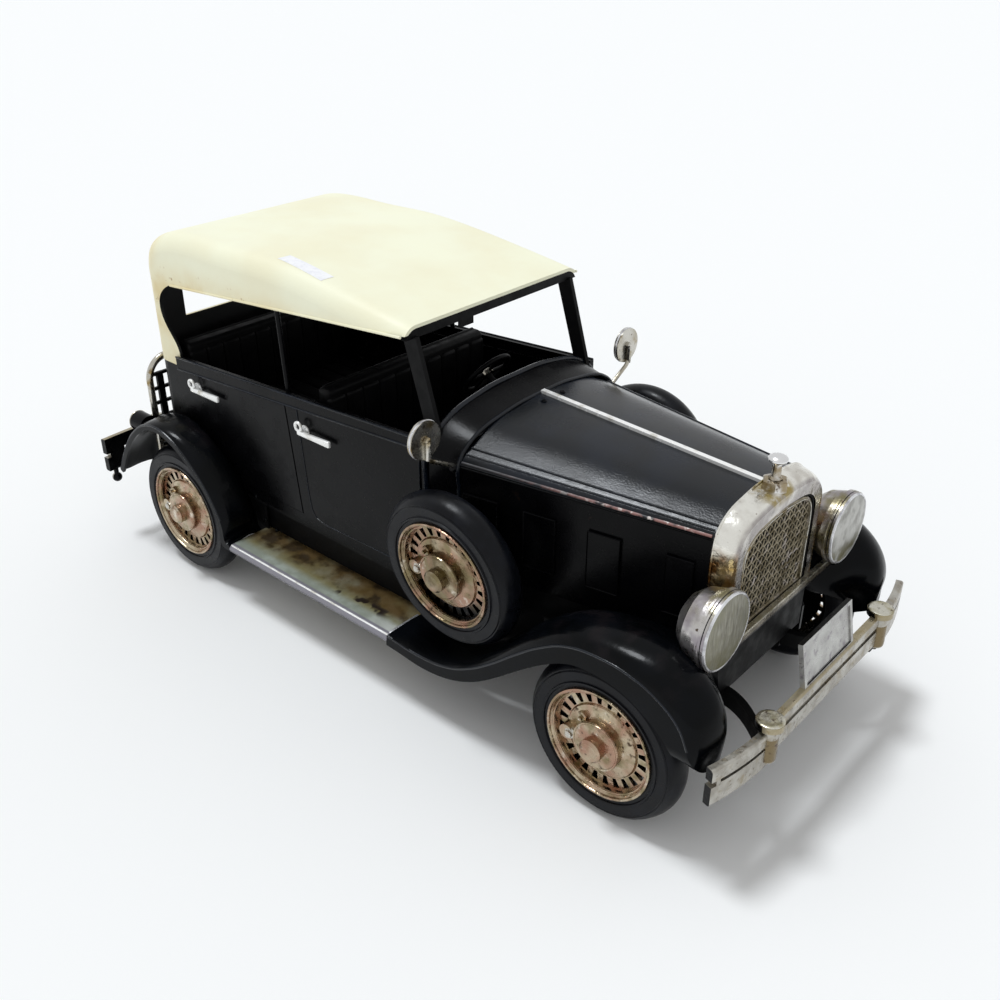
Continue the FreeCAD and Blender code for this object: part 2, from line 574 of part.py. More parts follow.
# Hood: a crowned top drawn as one sheet, and two flat sides
HOOD_SECTION = [(1.0, 0.0), (0.963, 0.19), (0.883, 0.36), (0.672, 0.71), (0.37, 0.92), (0.0, 1.0)]
HOOD_SHEET_Y = (1.0, 0.9, 0.7, 0.3, 0.1, 0.0)
HOOD_SHEET_Z = (0.0, 0.5, 0.8, 1.0, 1.0, 1.0)


def hood_wire(x, half, top_z):
    crown = top_z - SHOULDER_Z
    outer = [(half * a, SHOULDER_Z + crown * b) for a, b in HOOD_SECTION]
    inner = [(y - SHEET * a, z - SHEET * b) for (y, z), a, b in zip(outer, HOOD_SHEET_Y, HOOD_SHEET_Z)]

    def across(points):
        right = [V(x, -y, z) for y, z in points]
        return right + [V(x, -p.y, p.z) for p in reversed(right[:-1])]

    top = across(outer)
    low = across(inner)
    edges = [curve(top), line(top[-1], low[-1]), curve(list(reversed(low))), line(low[0], top[0])]
    return Part.Wire(edges)


pieces["hood_top"] = Part.makeLoft([hood_wire(COWL_FRONT_X, HOOD_REAR_HALF - 0.1, HOOD_TOP_Z),
                                    hood_wire(HOOD_FRONT_X, HOOD_FRONT_HALF - 0.1, NOSE_TOP_Z)], True, True)
HOOD_LOW_Z = FLOOR_Z + 11.6
hood_plan = [(COWL_FRONT_X, -HOOD_REAR_HALF), (HOOD_FRONT_X, -HOOD_FRONT_HALF),
             (HOOD_FRONT_X, -HOOD_FRONT_HALF + SHEET), (COWL_FRONT_X, -HOOD_REAR_HALF + SHEET)]
hood_side = prism_z(hood_plan, HOOD_LOW_Z, SHOULDER_Z - 0.1)
PANEL_OUTSIDE = 0.6
PANEL_LOW_Z = HOOD_LOW_Z + 7.0
PANEL_TOP_Z = SHOULDER_Z - 8.0
PANELS = ((1.6, 10.6), (20.4, 9.4), (39.3, 9.2), (60.9, 7.3))   # start ahead of the hood's rear edge, width
panels = []
for start, width in PANELS:
    x = COWL_FRONT_X + start * HOOD_LENGTH / 72.0
    x_end = x + width * HOOD_LENGTH / 72.0
    plan = [(x, -hood_y(x) - PANEL_OUTSIDE), (x_end, -hood_y(x_end) - PANEL_OUTSIDE),
            (x_end, -hood_y(x_end) + 0.5), (x, -hood_y(x) + 0.5)]
    panels.append(prism_z(plan, PANEL_LOW_Z, PANEL_TOP_Z))
side_full = fuse([hood_side] + panels)
HINGE_H = 0.9
hinge = prism_y([(COWL_FRONT_X, HOOD_TOP_Z), (HOOD_FRONT_X, NOSE_TOP_Z), (HOOD_FRONT_X, NOSE_TOP_Z + HINGE_H),
                 (COWL_FRONT_X, HOOD_TOP_Z + HINGE_H)], -0.8, 0.8)
pieces["hood_hinge"] = hinge

# The sides stand inside the fenders' inner edges
pair("hood_side", biggest(side_full.cut(front_fender)))

# Radiator: a shell whose top falls to the front, with a mesh of slanted wires in its opening
RADIATOR_X = HOOD_FRONT_X + RADIATOR_L
SHELL_LOW_Z = FLOOR_Z + 10.6
SHELL_TOP_Z = NOSE_TOP_Z + SHELL_PROUD


def arch_wire(x, half, low_z, top_z):
    """A round-topped outline: straight sides, then a curve over the top."""
    rise = top_z - low_z
    side = [(half, low_z), (half, low_z + rise * 0.74), (half * 0.955, low_z + rise * 0.84),
            (half * 0.79, low_z + rise * 0.93), (half * 0.43, low_z + rise * 0.982), (0.0, top_z)]
    right = [V(x, -y, z) for y, z in side]
    left = [V(x, y, z) for y, z in side]
    edges = [line(left[0], right[0]), line(right[0], right[1]),
             curve(right[1:] + list(reversed(left[1:-1]))), line(left[1], left[0])]
    return Part.Wire(edges)


SHELL_HALF = HOOD_FRONT_HALF + 0.2
FACE_IN = 1.2              # the shell's front face is this much narrower, each side
FACE_DROP = 3.0            # and its top this much lower
shell_solid = Part.makeLoft([
    arch_wire(HOOD_FRONT_X + RADIATOR_L * along, SHELL_HALF - FACE_IN * share, SHELL_LOW_Z,
              SHELL_TOP_Z - FACE_DROP * share)
    for along, share in ((0.0, 0.0), (0.5, 0.25), (0.85, 0.62), (1.0, 1.0))
], True, False)
OPEN_HALF = SHELL_HALF - FACE_IN - GRILLE_RIM
OPEN_LOW_Z = SHELL_LOW_Z + GRILLE_RIM
OPEN_TOP_Z = SHELL_TOP_Z - FACE_DROP - GRILLE_RIM


def opening_solid(x0, x1, inset):
    wire = arch_wire(x0, OPEN_HALF - inset, OPEN_LOW_Z + inset, OPEN_TOP_Z - inset)
    return Part.Face(wire).extrude(V(x1 - x0, 0, 0))


pieces["radiator_shell"] = shell_solid.cut(opening_solid(HOOD_FRONT_X - 1, RADIATOR_X + 1, 0.0))
CORE_T = RADIATOR_L - 2.4
core_x = HOOD_FRONT_X + CORE_T
pieces["radiator_core"] = opening_solid(HOOD_FRONT_X, core_x, 0.0)
MESH_T = 0.7
MESH_X = RADIATOR_X - 1.2
GROOVE = 0.6               # gap between the shell's opening and the mesh's frame
WIRE_W = 0.36
MESH_PITCH = 2.2
ROW_PITCH = 1.35
ROW_SLOPE = 0.32           # rise of a cross wire over a unit of width
mesh_lean = 0.2            # sideways lean of the upright wires over their height
frame_w = 1.2
mesh_rise = ROW_SLOPE * OPEN_HALF


def wire_crossing(column, row):
    """Where the middle of an upright wire crosses the middle of a cross wire: y and z."""
    y0 = column * MESH_PITCH
    middle_z = (OPEN_LOW_Z + OPEN_TOP_Z) / 2
    z = OPEN_LOW_Z - mesh_rise + row * ROW_PITCH - ROW_SLOPE * y0
    y = y0 + (z - middle_z) * mesh_lean
    return y, z - ROW_SLOPE * (y - y0)


def cell(column, row):
    """The opening between four wires."""
    half = WIRE_W / 2
    corners = [wire_crossing(column, row), wire_crossing(column + 1, row),
               wire_crossing(column + 1, row + 1), wire_crossing(column, row + 1)]
    inward = [(half, half), (-half, half), (-half, -half), (half, -half)]
    return [V(MESH_X, y + dy, z + dz) for (y, z), (dy, dz) in zip(corners, inward)]


cell_room = opening_solid(MESH_X - 1, MESH_X + 2, GROOVE + frame_w - 0.1)
columns = int(OPEN_HALF / MESH_PITCH) + 2
rows = int((OPEN_TOP_Z - OPEN_LOW_Z + 2 * mesh_rise) / ROW_PITCH) + 1
openings = []
for column in range(-columns, columns):
    for row in range(rows):
        corners = cell(column, row)
        if all(cell_room.isInside(c, 0.001, True) for c in corners):
            openings.append(Part.makePolygon(corners + [corners[0]]))
mesh_edge = GROOVE + frame_w / 2
outline = arch_wire(MESH_X, OPEN_HALF - mesh_edge, OPEN_LOW_Z + mesh_edge, OPEN_TOP_Z - mesh_edge)
lattice = Part.Face([outline] + openings, "Part::FaceMakerBullseye").extrude(V(MESH_T, 0, 0))
mesh_frame = opening_solid(core_x, RADIATOR_X - 0.3, GROOVE).cut(
    opening_solid(core_x - 1, FAR, GROOVE + frame_w))
pieces["radiator_grille"] = fuse([mesh_frame, lattice])
CAP_HEX_R = 3.4
cap_x = HOOD_FRONT_X + CAP_HEX_R * 0.87
hexagon = [(cap_x + CAP_HEX_R * math.sin(math.radians(60 * i)), CAP_HEX_R * math.cos(math.radians(60 * i)))
           for i in range(6)]
nut_top_z = SHELL_TOP_Z + 0.9
pieces["radiator_cap"] = biggest(fuse([
    prism_z(hexagon, SHELL_TOP_Z - 4.0, nut_top_z),
    rod((cap_x, 0, nut_top_z), (cap_x, 0, nut_top_z + 5.2), 1.4),
    rod((cap_x, 0, nut_top_z + 5.2), (cap_x, 0, nut_top_z + 6.6), 2.8),
]).cut(shell_solid))

# Headlamps on their bar
BAR_LOW_Z = SHELL_LOW_Z + 2.0
BAR_H = 2.6
BAR_D = 1.4
LAMP_X = RADIATOR_X + 4.4
LAMP_Z = BAR_LOW_Z + BAR_H + LAMP_R + 0.5


def lamp_bowl(grow):
    """A lamp's bowl, or the same grown all round."""
    r = LAMP_R + grow
    bowl = spin_x([(-11.6 - grow, 0), (-11.2 - grow, r - 7.1), (-9.6 - grow, r - 3.9), (-7.0 - grow, r - 1.7),
                   (-3.6, r - 0.7), (-2.2 - grow, r - 0.6), (-2.2 - grow, r), (grow, r), (grow, 0)])
    bowl.translate(V(LAMP_X, -LAMP_Y, LAMP_Z))
    return bowl


bracket = box(RADIATOR_X, LAMP_X - 2.4, -LAMP_Y - 1.5, -LAMP_Y + 1.5,
              BAR_LOW_Z + BAR_H, LAMP_Z - LAMP_R * 0.7)
pair("headlamp", fuse([lamp_bowl(0.0), bracket]))
lens_r = LAMP_R - 0.8
lens = spin_x([(0, 0), (0, lens_r), (0.5, lens_r), (0.8, lens_r * 0.5), (0.9, 0)])
lens.translate(V(LAMP_X, -LAMP_Y, LAMP_Z))
pair("headlamp_lens", lens)
bar_half = LAMP_Y + 1.5
pieces["headlamp_bar"] = box(RADIATOR_X, RADIATOR_X + BAR_D, -bar_half, bar_half,
                             BAR_LOW_Z, BAR_LOW_Z + BAR_H)

# The fenders stay clear of the lamps, the bar, the floor and the running boards
bar_room = box(RADIATOR_X - CLEAR, LAMP_X - 2.4 + CLEAR, -bar_half - CLEAR, 0, BAR_LOW_Z - CLEAR, FAR)
front_fender = front_fender.cut(
    [bar_room, lamp_bowl(CLEAR), pieces["floor_pan"], pieces["running_board_right"]])
pair("front_fender", biggest(front_fender))
pair("rear_fender", biggest(rear_fender.cut(pieces["running_board_right"]).cut(pieces["floor_pan"])))

# Spare wheels beside the cowl, each on a post that reaches the hood's side
SPARE_X = FRONT_AXLE_X - 2 * TYRE_R - 7.2
SPARE_Y = BODY_HALF_W + 12.0
SPARE_Z = BOARD_TOP_Z + 6.0 + TYRE_R


def leaning(shape):
    moved = shape.copy()
    moved.rotate(V(0, 0, 0), V(1, 0, 0), SPARE_LEAN)
    moved.translate(V(SPARE_X, -SPARE_Y, SPARE_Z))
    return moved


beside_hood = prism_z(
    [(0, -hood_y(0)), (HOOD_FRONT_X, -HOOD_FRONT_HALF), (HOOD_FRONT_X, -FAR), (0, -FAR)], 0, FAR)
spare_post = Part.makeCylinder(KNOB_R, 14.0, V(0, WHEEL_BACK, 0), V(0, 1, 0))
pair("spare_tyre", leaning(TYRE))
spare = leaning(fuse([WHEEL, spare_post])).common(beside_hood).cut(cowl_outer).cut(side_full)
pair("spare_wheel", biggest(spare))

# Roof: a pillow shape drawn through side outlines, hollow and open at the front
ROOF_REAR = [(0.0, 28.4), (0.0, 17.4), (0.6, 11.4), (2.8, 7.0), (8.4, 3.2), (18.0, 0.9)]
ROOF_FRONT = [(0.22, 0.4), (0.42, 0.0), (0.68, 2.1), (0.91, 5.2), (1.1, 8.1)]
roof_bend_x = BODY_REAR_X + ROOF_REAR[-1][0]
ROOF_LINE = [(BODY_REAR_X + x, ROOF_TOP_Z - drop) for x, drop in ROOF_REAR]
ROOF_LINE += [(between(share, 0, roof_bend_x, 1, ROOF_FRONT_X), ROOF_TOP_Z - drop)
              for share, drop in ROOF_FRONT]
SKIRT_Z = belt_low(BODY_REAR_X) - 2.0
ROOF_CORNER_R = 5.5


def roof_solid(inset):
    """The roof's outer block, or the same set in by the sheet, with its long edges rounded."""
    guide = Part.BSplineCurve()
    guide.interpolate([V(x, 0, z) for x, z in ROOF_LINE])
    side_y = inset - BODY_HALF_W
    top = []
    for x, z in ROOF_LINE[1:]:
        tangent = guide.tangent(guide.parameter(V(x, 0, z)))[0]
        normal = V(tangent.z, 0, -tangent.x)
        top.append(V(x, side_y, z) + normal * inset)
    rear_low = V(top[0].x, side_y, SKIRT_Z)
    front_low = V(top[-1].x, side_y, SKIRT_Z)
    wire = Part.Wire([line(rear_low, top[0]), curve(top),
                      line(top[-1], front_low), line(front_low, rear_low)])
    block = Part.Face(wire).extrude(V(0, -2 * side_y, 0))
    rounded = [e for e in block.Edges
               if e.BoundBox.YLength < 0.01 and e.BoundBox.ZMin > SKIRT_Z - 0.1
               and e.BoundBox.ZLength > 1.0 and e.BoundBox.XMin < ROOF_FRONT_X - 9]
    return block.makeFillet(ROOF_CORNER_R - inset, rounded)


roof_outer = roof_solid(0.0)
roof_inner = roof_solid(SHEET)

# Side openings: their rear edge bulges back above the belt
BACK_EDGE = [(14.6, 0.0), (14.2, 0.11), (9.3, 0.385), (6.9, 0.63), (7.2, 0.74), (9.9, 0.89), (14.5, 1.0)]
edge_x = BODY_REAR_X + BACK_EDGE[-1][0]
edge_low_z = belt_top(edge_x)
edge_h = roof_low(edge_x) - edge_low_z
back_points = [V(BODY_REAR_X + x, -BODY_HALF_W - 9, edge_low_z + share * edge_h) for x, share in BACK_EDGE]
far_top = V(FAR, -BODY_HALF_W - 9, roof_low(FAR))
far_low = V(FAR, -BODY_HALF_W - 9, SKIRT_Z - 9)
near_low = V(back_points[0].x, -BODY_HALF_W - 9, SKIRT_Z - 9)
open_wire = Part.Wire([line(near_low, back_points[0]), curve(back_points), line(back_points[-1], far_top),
                       line(far_top, far_low), line(far_low, near_low)])
side_open = Part.Face(open_wire).extrude(V(0, 2 * BODY_HALF_W + 18, 0))
WINDOW_HALF = 25.0
WINDOW_LOW_Z = FLOOR_Z + 50.0
WINDOW_H = 11.0
rear_window = box(BODY_REAR_X - 9, BODY_REAR_X + 9, -WINDOW_HALF, WINDOW_HALF,
                  WINDOW_LOW_Z, WINDOW_LOW_Z + WINDOW_H)
roof = roof_outer.cut(roof_inner).cut(box(ROOF_FRONT_X, FAR, -FAR, FAR, -FAR, FAR))
pieces["roof"] = roof.cut(side_open).cut(BELOW_BELT).cut(rear_window)

# Windshield frame: two flat posts, a header under the roof's front edge and a small bracket
HEADER_L = 3.9
header_low_z = roof_low(ROOF_FRONT_X) - 1.4
header_bar = box(ROOF_FRONT_X - HEADER_L, ROOF_FRONT_X, -inside, inside, header_low_z, FAR)
header = biggest(header_bar.common(roof_inner))
post_low_z = SHOULDER_Z + 1.5
POST_W = 4.8
post_y = BODY_HALF_W - 5.5
post_foot_x = BODY_FRONT_X - 1.5
post_head_x = ROOF_FRONT_X - 4.2
post = prism_y([(post_foot_x, post_low_z), (post_foot_x + POST_W, post_low_z),
                (post_head_x + POST_W + 0.4, header_low_z + 0.6), (post_head_x, header_low_z + 0.6)],
               -post_y - 1.4, -post_y)
post = biggest(post.cut(cowl_outer).cut(pieces["roof"]))
bracket = box(ROOF_FRONT_X - 3.2, ROOF_FRONT_X - 1.8, -13.0, -8.0, header_low_z - 3.0, header_low_z + 0.5)
pieces["windshield_frame"] = fuse([header, post, left_of(post), bracket])


# Seats, each one plain block with a rounded back
def seat(back_x, back_t, cushion_l, back_h, cushion_h):
    half = BODY_HALF_W - SHEET - 2.5
    back = box(back_x, back_x + back_t, -half, half, FLOOR_Z, FLOOR_Z + back_h)
    edges = [e for e in back.Edges
             if abs(e.BoundBox.ZMin - FLOOR_Z - back_h) < 0.01 and e.BoundBox.YLength > half]
    back = back.makeFillet(back_t * 0.42, edges)
    cushion = box(back_x + back_t, back_x + back_t + cushion_l, -half, half, FLOOR_Z, FLOOR_Z + cushion_h)
    return fuse([back, cushion])


pieces["front_seat"] = seat(POST_X + 9.1, 6.0, 19.5, 49.6, 22.6)
pieces["rear_seat"] = seat(BODY_REAR_X + 8.4, 7.0, 23.0, 45.6, 20.6)

# Steering wheel on its column, left-hand drive
WHEEL_RING_R = 8.4
wheel_at = V(BODY_FRONT_X - 24.3, BODY_HALF_W - 23.0, SHOULDER_Z + 1.3)
down = V(math.cos(math.radians(38)), 0, -math.sin(math.radians(38)))
rim = Part.makeTorus(WHEEL_RING_R, 0.8, wheel_at, down)
column = Part.makeCylinder(1.1, 60, wheel_at - down * 1.0, down).cut(box(firewall_x, FAR, 0, FAR, 0, FAR))
across = V(0, 1, 0)
upward = down.cross(across)
spokes = [Part.makeCylinder(0.6, 2 * WHEEL_RING_R, wheel_at - way * WHEEL_RING_R, way)
          for way in (across, upward)]
steering = fuse([rim, column] + spokes)
pieces["steering_wheel"] = biggest(steering.cut(pieces["bulkhead"]))

# Bumpers: two rounded bars joined at their ends, with clamp studs
# Heights of the lower edge, the slit between the two bars and the upper edge
BAR_LOW = AXLE_Z + 2.1
BAR_TOP = AXLE_Z + 14.9
FRONT_MIDDLE = (AXLE_Z + 4.8, AXLE_Z + 11.1, BAR_TOP)
FRONT_ENDS = (AXLE_Z + 2.4, AXLE_Z + 9.4, AXLE_Z + 13.4)
REAR_BARS = (BAR_LOW, (BAR_LOW + BAR_TOP) / 2, BAR_TOP)
SLIT_H = 1.0


def bar_plan(front_x, sweep_r, half, low_z):
    """Plan of a bar: straight between the clamps, its ends swept back."""
    middle_y = CLAMP_Y - 1.0
    turn = math.asin((half - middle_y) / sweep_r)
    points = []
    for r in (sweep_r, sweep_r - BAR_T):
        x = front_x - sweep_r
        end_y = middle_y + r * math.sin(turn)
        half_y = middle_y + r * math.sin(turn / 2)
        points.append([(x + r, middle_y), (x + r * math.cos(turn / 2), half_y),
                       (x + r * math.cos(turn), end_y)])
    outer, inner = points

    def at(p, side):
        return V(p[0], side * p[1], low_z)

    edges = [line(at(outer[0], -1), at(outer[0], 1)),
             Part.Arc(at(outer[0], 1), at(outer[1], 1), at(outer[2], 1)).toShape(),
             line(at(outer[2], 1), at(inner[2], 1)),
             Part.Arc(at(inner[2], 1), at(inner[1], 1), at(inner[0], 1)).toShape(),
             line(at(inner[0], 1), at(inner[0], -1)),
             Part.Arc(at(inner[0], -1), at(inner[1], -1), at(inner[2], -1)).toShape(),
             line(at(inner[2], -1), at(outer[2], -1)),
             Part.Arc(at(outer[2], -1), at(outer[1], -1), at(outer[0], -1)).toShape()]
    return Part.Face(Part.Wire(edges))


def slit_bars(front_x, sweep_r, half, slit_h, slit_half, heights):
    """Two bars over the bumper's whole width: a band with rounded long edges, cut by a slit."""
    low_z, slit_z, top_z = heights
    band = bar_plan(front_x, sweep_r, half, low_z).extrude(V(0, 0, top_z - low_z))
    long_edges = [e for e in band.Edges
                  if e.BoundBox.ZLength < 0.01 and e.BoundBox.YLength > 4
                  and e.BoundBox.XMax > front_x - 0.3 * BAR_T]
    band = band.makeFillet(BAR_T * 0.36, long_edges)
    return band.cut(box(0, FAR, -slit_half, slit_half, slit_z - slit_h / 2, slit_z + slit_h / 2))


def bumper_bars(front_x, sweep_r, half, slit_h, slit_half, middle_heights, end_heights):
    """Bars that may stand at one height between the clamps and at another height outside them."""
    between_clamps = box(0, FAR, -CLAMP_Y, CLAMP_Y, 0, FAR)
    middle_slit_z = middle_heights[1]
    groove = box(front_x - 0.6, FAR, -CLAMP_Y, CLAMP_Y, middle_slit_z - 0.8, middle_slit_z + 0.8)
    middle = slit_bars(front_x, sweep_r, half, slit_h, slit_half, middle_heights)
    middle = middle.common(between_clamps).cut(groove)
    ends = slit_bars(front_x, sweep_r, half, slit_h, slit_half, end_heights).cut(between_clamps)
    end_slit_z = end_heights[1]
    for side in (-1, 1):
        edge = side * half
        ends = ends.cut(box(0, FAR, edge - 1.6, edge + 1.6, end_slit_z - 1.1, end_slit_z + 0.5))
    return fuse([middle, ends])


def clamp():
    drum = rod((CLAMP_X, -CLAMP_Y, BAR_LOW + 2.4), (CLAMP_X, -CLAMP_Y, BAR_TOP), CLAMP_DRUM_R)
    disc = rod((CLAMP_X, -CLAMP_Y, BAR_TOP - 0.4), (CLAMP_X, -CLAMP_Y, BAR_TOP + 1.4), CLAMP_DISC_R)
    return fuse([drum, disc])


END_JOIN = 2.8
FRONT_SWEEP_R = 80.0
REAR_SWEEP_R = 260.0
front_face_x = LENGTH / 2 - 2.6
front_bars = bumper_bars(front_face_x, FRONT_SWEEP_R, FRONT_BUMPER_HALF, SLIT_H, FRONT_BUMPER_HALF - END_JOIN,
                         FRONT_MIDDLE, FRONT_ENDS)
stud = clamp()
pieces["front_bumper"] = fuse([front_bars, stud, left_of(stud)])
REAR_SLIT_H = 2.7
rear_bars = bumper_bars(LENGTH / 2 - 0.4, REAR_SWEEP_R, REAR_BUMPER_HALF, REAR_SLIT_H,
                        REAR_BUMPER_HALF - END_JOIN - 5.0, REAR_BARS, REAR_BARS)
KNOB_BALL_R = 1.8
knob_x = LENGTH / 2 - 2.6
knob_y = REAR_BUMPER_HALF - 3.0
hanger = fuse([rod((knob_x, -knob_y, BAR_LOW - 2.6), (knob_x, -knob_y, BAR_LOW + 1.0), 0.9),
               Part.makeSphere(KNOB_BALL_R, V(knob_x, -knob_y, BAR_LOW - 3.6))])
rear_bumper = fuse([rear_bars, stud, left_of(stud), hanger, left_of(hanger)])
pieces["rear_bumper"] = rear_bumper.mirror(V(0, 0, 0), V(1, 0, 0))
bumper_room = pieces["front_bumper"].fuse(pieces["rear_bumper"])
pieces["chassis_frame"] = biggest(chassis.cut(bumper_room))

# Blank front plate, leaning back behind the front bumper
PLATE_HALF = 13.4
PLATE_H = 13.5
plate = box(0, SHEET, -PLATE_HALF, PLATE_HALF, 0, PLATE_H)
border = box(SHEET, SHEET + 0.4, -PLATE_HALF, PLATE_HALF, 0, PLATE_H)
border = border.cut(box(SHEET - 0.1, SHEET + 0.5, -PLATE_HALF + 1.2, PLATE_HALF - 1.2, 1.2, PLATE_H - 1.2))
plate = fuse([plate, border])
plate.rotate(V(0, 0, 0), V(0, 1, 0), -11)
plate_x = front_face_x - BAR_T
plate.translate(V(plate_x + 0.2, 0, BAR_TOP - 1.0))
foot = box(plate_x - 1.2, plate_x, -3.0, 3.0, BAR_TOP - 4.4, BAR_TOP + 0.4)
pieces["front_plate"] = biggest(fuse([plate, foot]).cut(pieces["front_bumper"]))

# Tail lamps on the rear fenders
TAIL_R = 3.6
tail_x = REAR_AXLE_X - 23.4
tail_y = FENDER_OUT - 7.4
tail_z = AXLE_Z + 23.6
drum = rod((tail_x - 7.0, -tail_y, tail_z), (tail_x, -tail_y, tail_z), TAIL_R)
foot = box(tail_x - 4.9, tail_x - 1.9, -tail_y - 1.4, -tail_y + 1.4, tail_z - 8.0, tail_z - 2.4)
pair("tail_lamp", biggest(fuse([drum, foot]).cut(pieces["rear_fender_right"])))

# Luggage rack: an upright hoop and black slats behind the body
RACK_GAP = 6.0             # from the back of the body to the rack
RACK_WIRE_R = 1.2
RACK_TOP_H = 35.6          # above the floor
RACK_CORNER = 8.0
SLAT_COUNT = 6
SLAT_PITCH = 5.4
SLAT_T = 1.1
rack_x = BODY_REAR_X - RACK_GAP
rack_half = BODY_HALF_W + 1.0
rack_low_z = FLOOR_Z + 0.6
rack_top_z = FLOOR_Z + RACK_TOP_H
hoop = bent_rod([V(rack_x, -rack_half, rack_low_z), V(rack_x, -rack_half, rack_top_z),
                 V(rack_x, rack_half, rack_top_z), V(rack_x, rack_half, rack_low_z)],
                RACK_WIRE_R, RACK_CORNER)
fenders = [pieces["rear_fender_right"], pieces["rear_fender_left"]]
hoop = biggest(hoop.cut(fenders))
pieces["rack_hoop"] = hoop
slat_half = rack_half - RACK_WIRE_R
first_slat_z = rack_low_z + 1.4
stile_top_z = first_slat_z + SLAT_PITCH * (SLAT_COUNT - 1) + SLAT_T
slats = []
for side in (-1, 1):
    y = side * (slat_half - 2.8)
    slats.append(box(rack_x - 0.6, rack_x + 0.6, y - 1.2, y + 1.2, rack_low_z, stile_top_z))
for i in range(SLAT_COUNT):
    z = first_slat_z + SLAT_PITCH * i
    slats.append(box(rack_x - 0.5, rack_x + 0.5, -slat_half, slat_half, z, z + SLAT_T))
for y in (-20.0, 20.0):
    for i in (1, SLAT_COUNT - 2):
        z = first_slat_z + SLAT_PITCH * i
        slats.append(box(rack_x + 0.5, BODY_REAR_X, y - 1.2, y + 1.2, z, z + SLAT_T))
pieces["rack_slats"] = biggest(fuse(slats).cut([hoop] + fenders))

# Mirrors on bent stems
MIRROR_R = 5.5
stem_r = 0.65
mirror_x = COWL_FRONT_X - 1.8
mirror_y = BODY_HALF_W + 7.2
mirror_z = SHOULDER_Z + 10.3
stem_foot = V(mirror_x, -HOOD_REAR_HALF + 1.4, SHOULDER_Z - 1.6)
stem_corner = V(mirror_x, -mirror_y, SHOULDER_Z + 4.6)
stem = bent_rod([stem_foot, stem_corner, V(mirror_x, -mirror_y, mirror_z)], stem_r, 3.0)
glass = Part.makeCylinder(MIRROR_R, 1.4, V(mirror_x - 0.6, -mirror_y, mirror_z), V(-1, 0, 0))
mirror = fuse([glass, stem]).cut(cowl_outer)
pair("mirror", biggest(mirror))

for name, shape in pieces.items():
    solid = biggest(shape)
    if len(shape.Solids) != 1:
        print("PIECES", name, len(shape.Solids), [round(s.Volume, 2) for s in shape.Solids])
    if not solid.isValid():
        print("INVALID", name)
    solid.exportStep("parts/" + name + ".step")
print(len(pieces), "pieces")
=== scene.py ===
# Tinplate model of a 1920s four-door touring car, finished and lit as in its photograph.
# Metres. +X is the front of the car, +Y its left side, +Z up, and the origin lies on the ground.
import bpy
import math
from mathutils import Matrix, Vector


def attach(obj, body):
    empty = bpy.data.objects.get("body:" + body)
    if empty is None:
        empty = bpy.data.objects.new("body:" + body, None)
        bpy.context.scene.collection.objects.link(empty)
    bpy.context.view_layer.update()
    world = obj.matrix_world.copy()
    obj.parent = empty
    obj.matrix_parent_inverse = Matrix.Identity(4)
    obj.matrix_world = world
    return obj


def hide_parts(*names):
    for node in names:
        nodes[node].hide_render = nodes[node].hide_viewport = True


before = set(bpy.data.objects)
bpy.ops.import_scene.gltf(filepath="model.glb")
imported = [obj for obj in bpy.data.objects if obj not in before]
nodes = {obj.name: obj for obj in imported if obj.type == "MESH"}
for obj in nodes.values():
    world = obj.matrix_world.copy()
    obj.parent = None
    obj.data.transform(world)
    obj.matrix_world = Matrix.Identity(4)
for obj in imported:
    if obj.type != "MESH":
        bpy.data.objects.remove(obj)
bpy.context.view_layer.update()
MM = 0.001
X, Y, Z = 0, 1, 2  # outputs of a node that splits a place


# Materials
def colour(text):
    """An sRGB hex colour as linear red, green, blue and alpha."""
    shares = [int(text[i:i + 2], 16) / 255 for i in (0, 2, 4)]
    return [s / 12.92 if s <= 0.04045 else ((s + 0.055) / 1.055) ** 2.4 for s in shares] + [1.0]


def add(tree, kind, options=None, inputs=None):
    """Adds a shader node with its options, and fills its inputs with values or with other nodes' outputs."""
    node = tree.nodes.new(kind)
    for name, value in (options or {}).items():
        setattr(node, name, value)
    for name, value in (inputs or {}).items():
        if isinstance(value, bpy.types.NodeSocket):
            tree.links.new(value, node.inputs[name])
        else:
            node.inputs[name].default_value = value
    return node


def finish(name, **values):
    """A new material and its node tree, with plain values set on its shader's own sockets."""
    material = bpy.data.materials.new(name)
    material.use_nodes = True
    tree = material.node_tree
    shader = tree.nodes["Principled BSDF"]
    for socket, value in values.items():
        shader.inputs[socket.replace("_", " ")].default_value = value
    return material, tree


def blotches(tree, size_mm, low, high, detail=4.0, stretch=(1.0, 1.0, 1.0), shift=0.0, values=(0.0, 1.0)):
    """Soft patches about size_mm across, from the first value at low noise to the second at high noise."""
    place = add(tree, "ShaderNodeTexCoord").outputs["Object"]
    spread = add(tree, "ShaderNodeMapping",
                 inputs={"Vector": place, "Location": (shift, shift, shift), "Scale": stretch})
    noise = add(tree, "ShaderNodeTexNoise",
                inputs={"Vector": spread.outputs[0], "Scale": 1.0 / (size_mm * MM), "Detail": detail})
    level = add(tree, "ShaderNodeMapRange", {"interpolation_type": "SMOOTHSTEP"},
                {"Value": noise.outputs[0], "From Min": low, "From Max": high,
                 "To Min": values[0], "To Max": values[1]})
    return level.outputs[0]


def along(tree, axis, start_mm, end_mm, values=(0.0, 1.0)):
    """The first value up to start_mm along an axis of the car, the second from end_mm on, smooth between."""
    place = add(tree, "ShaderNodeTexCoord").outputs["Object"]
    split = add(tree, "ShaderNodeSeparateXYZ", inputs={0: place})
    level = add(tree, "ShaderNodeMapRange", {"interpolation_type": "SMOOTHSTEP"},
                {"Value": split.outputs[axis], "From Min": start_mm * MM, "From Max": end_mm * MM,
                 "To Min": values[0], "To Max": values[1]})
    return level.outputs[0]


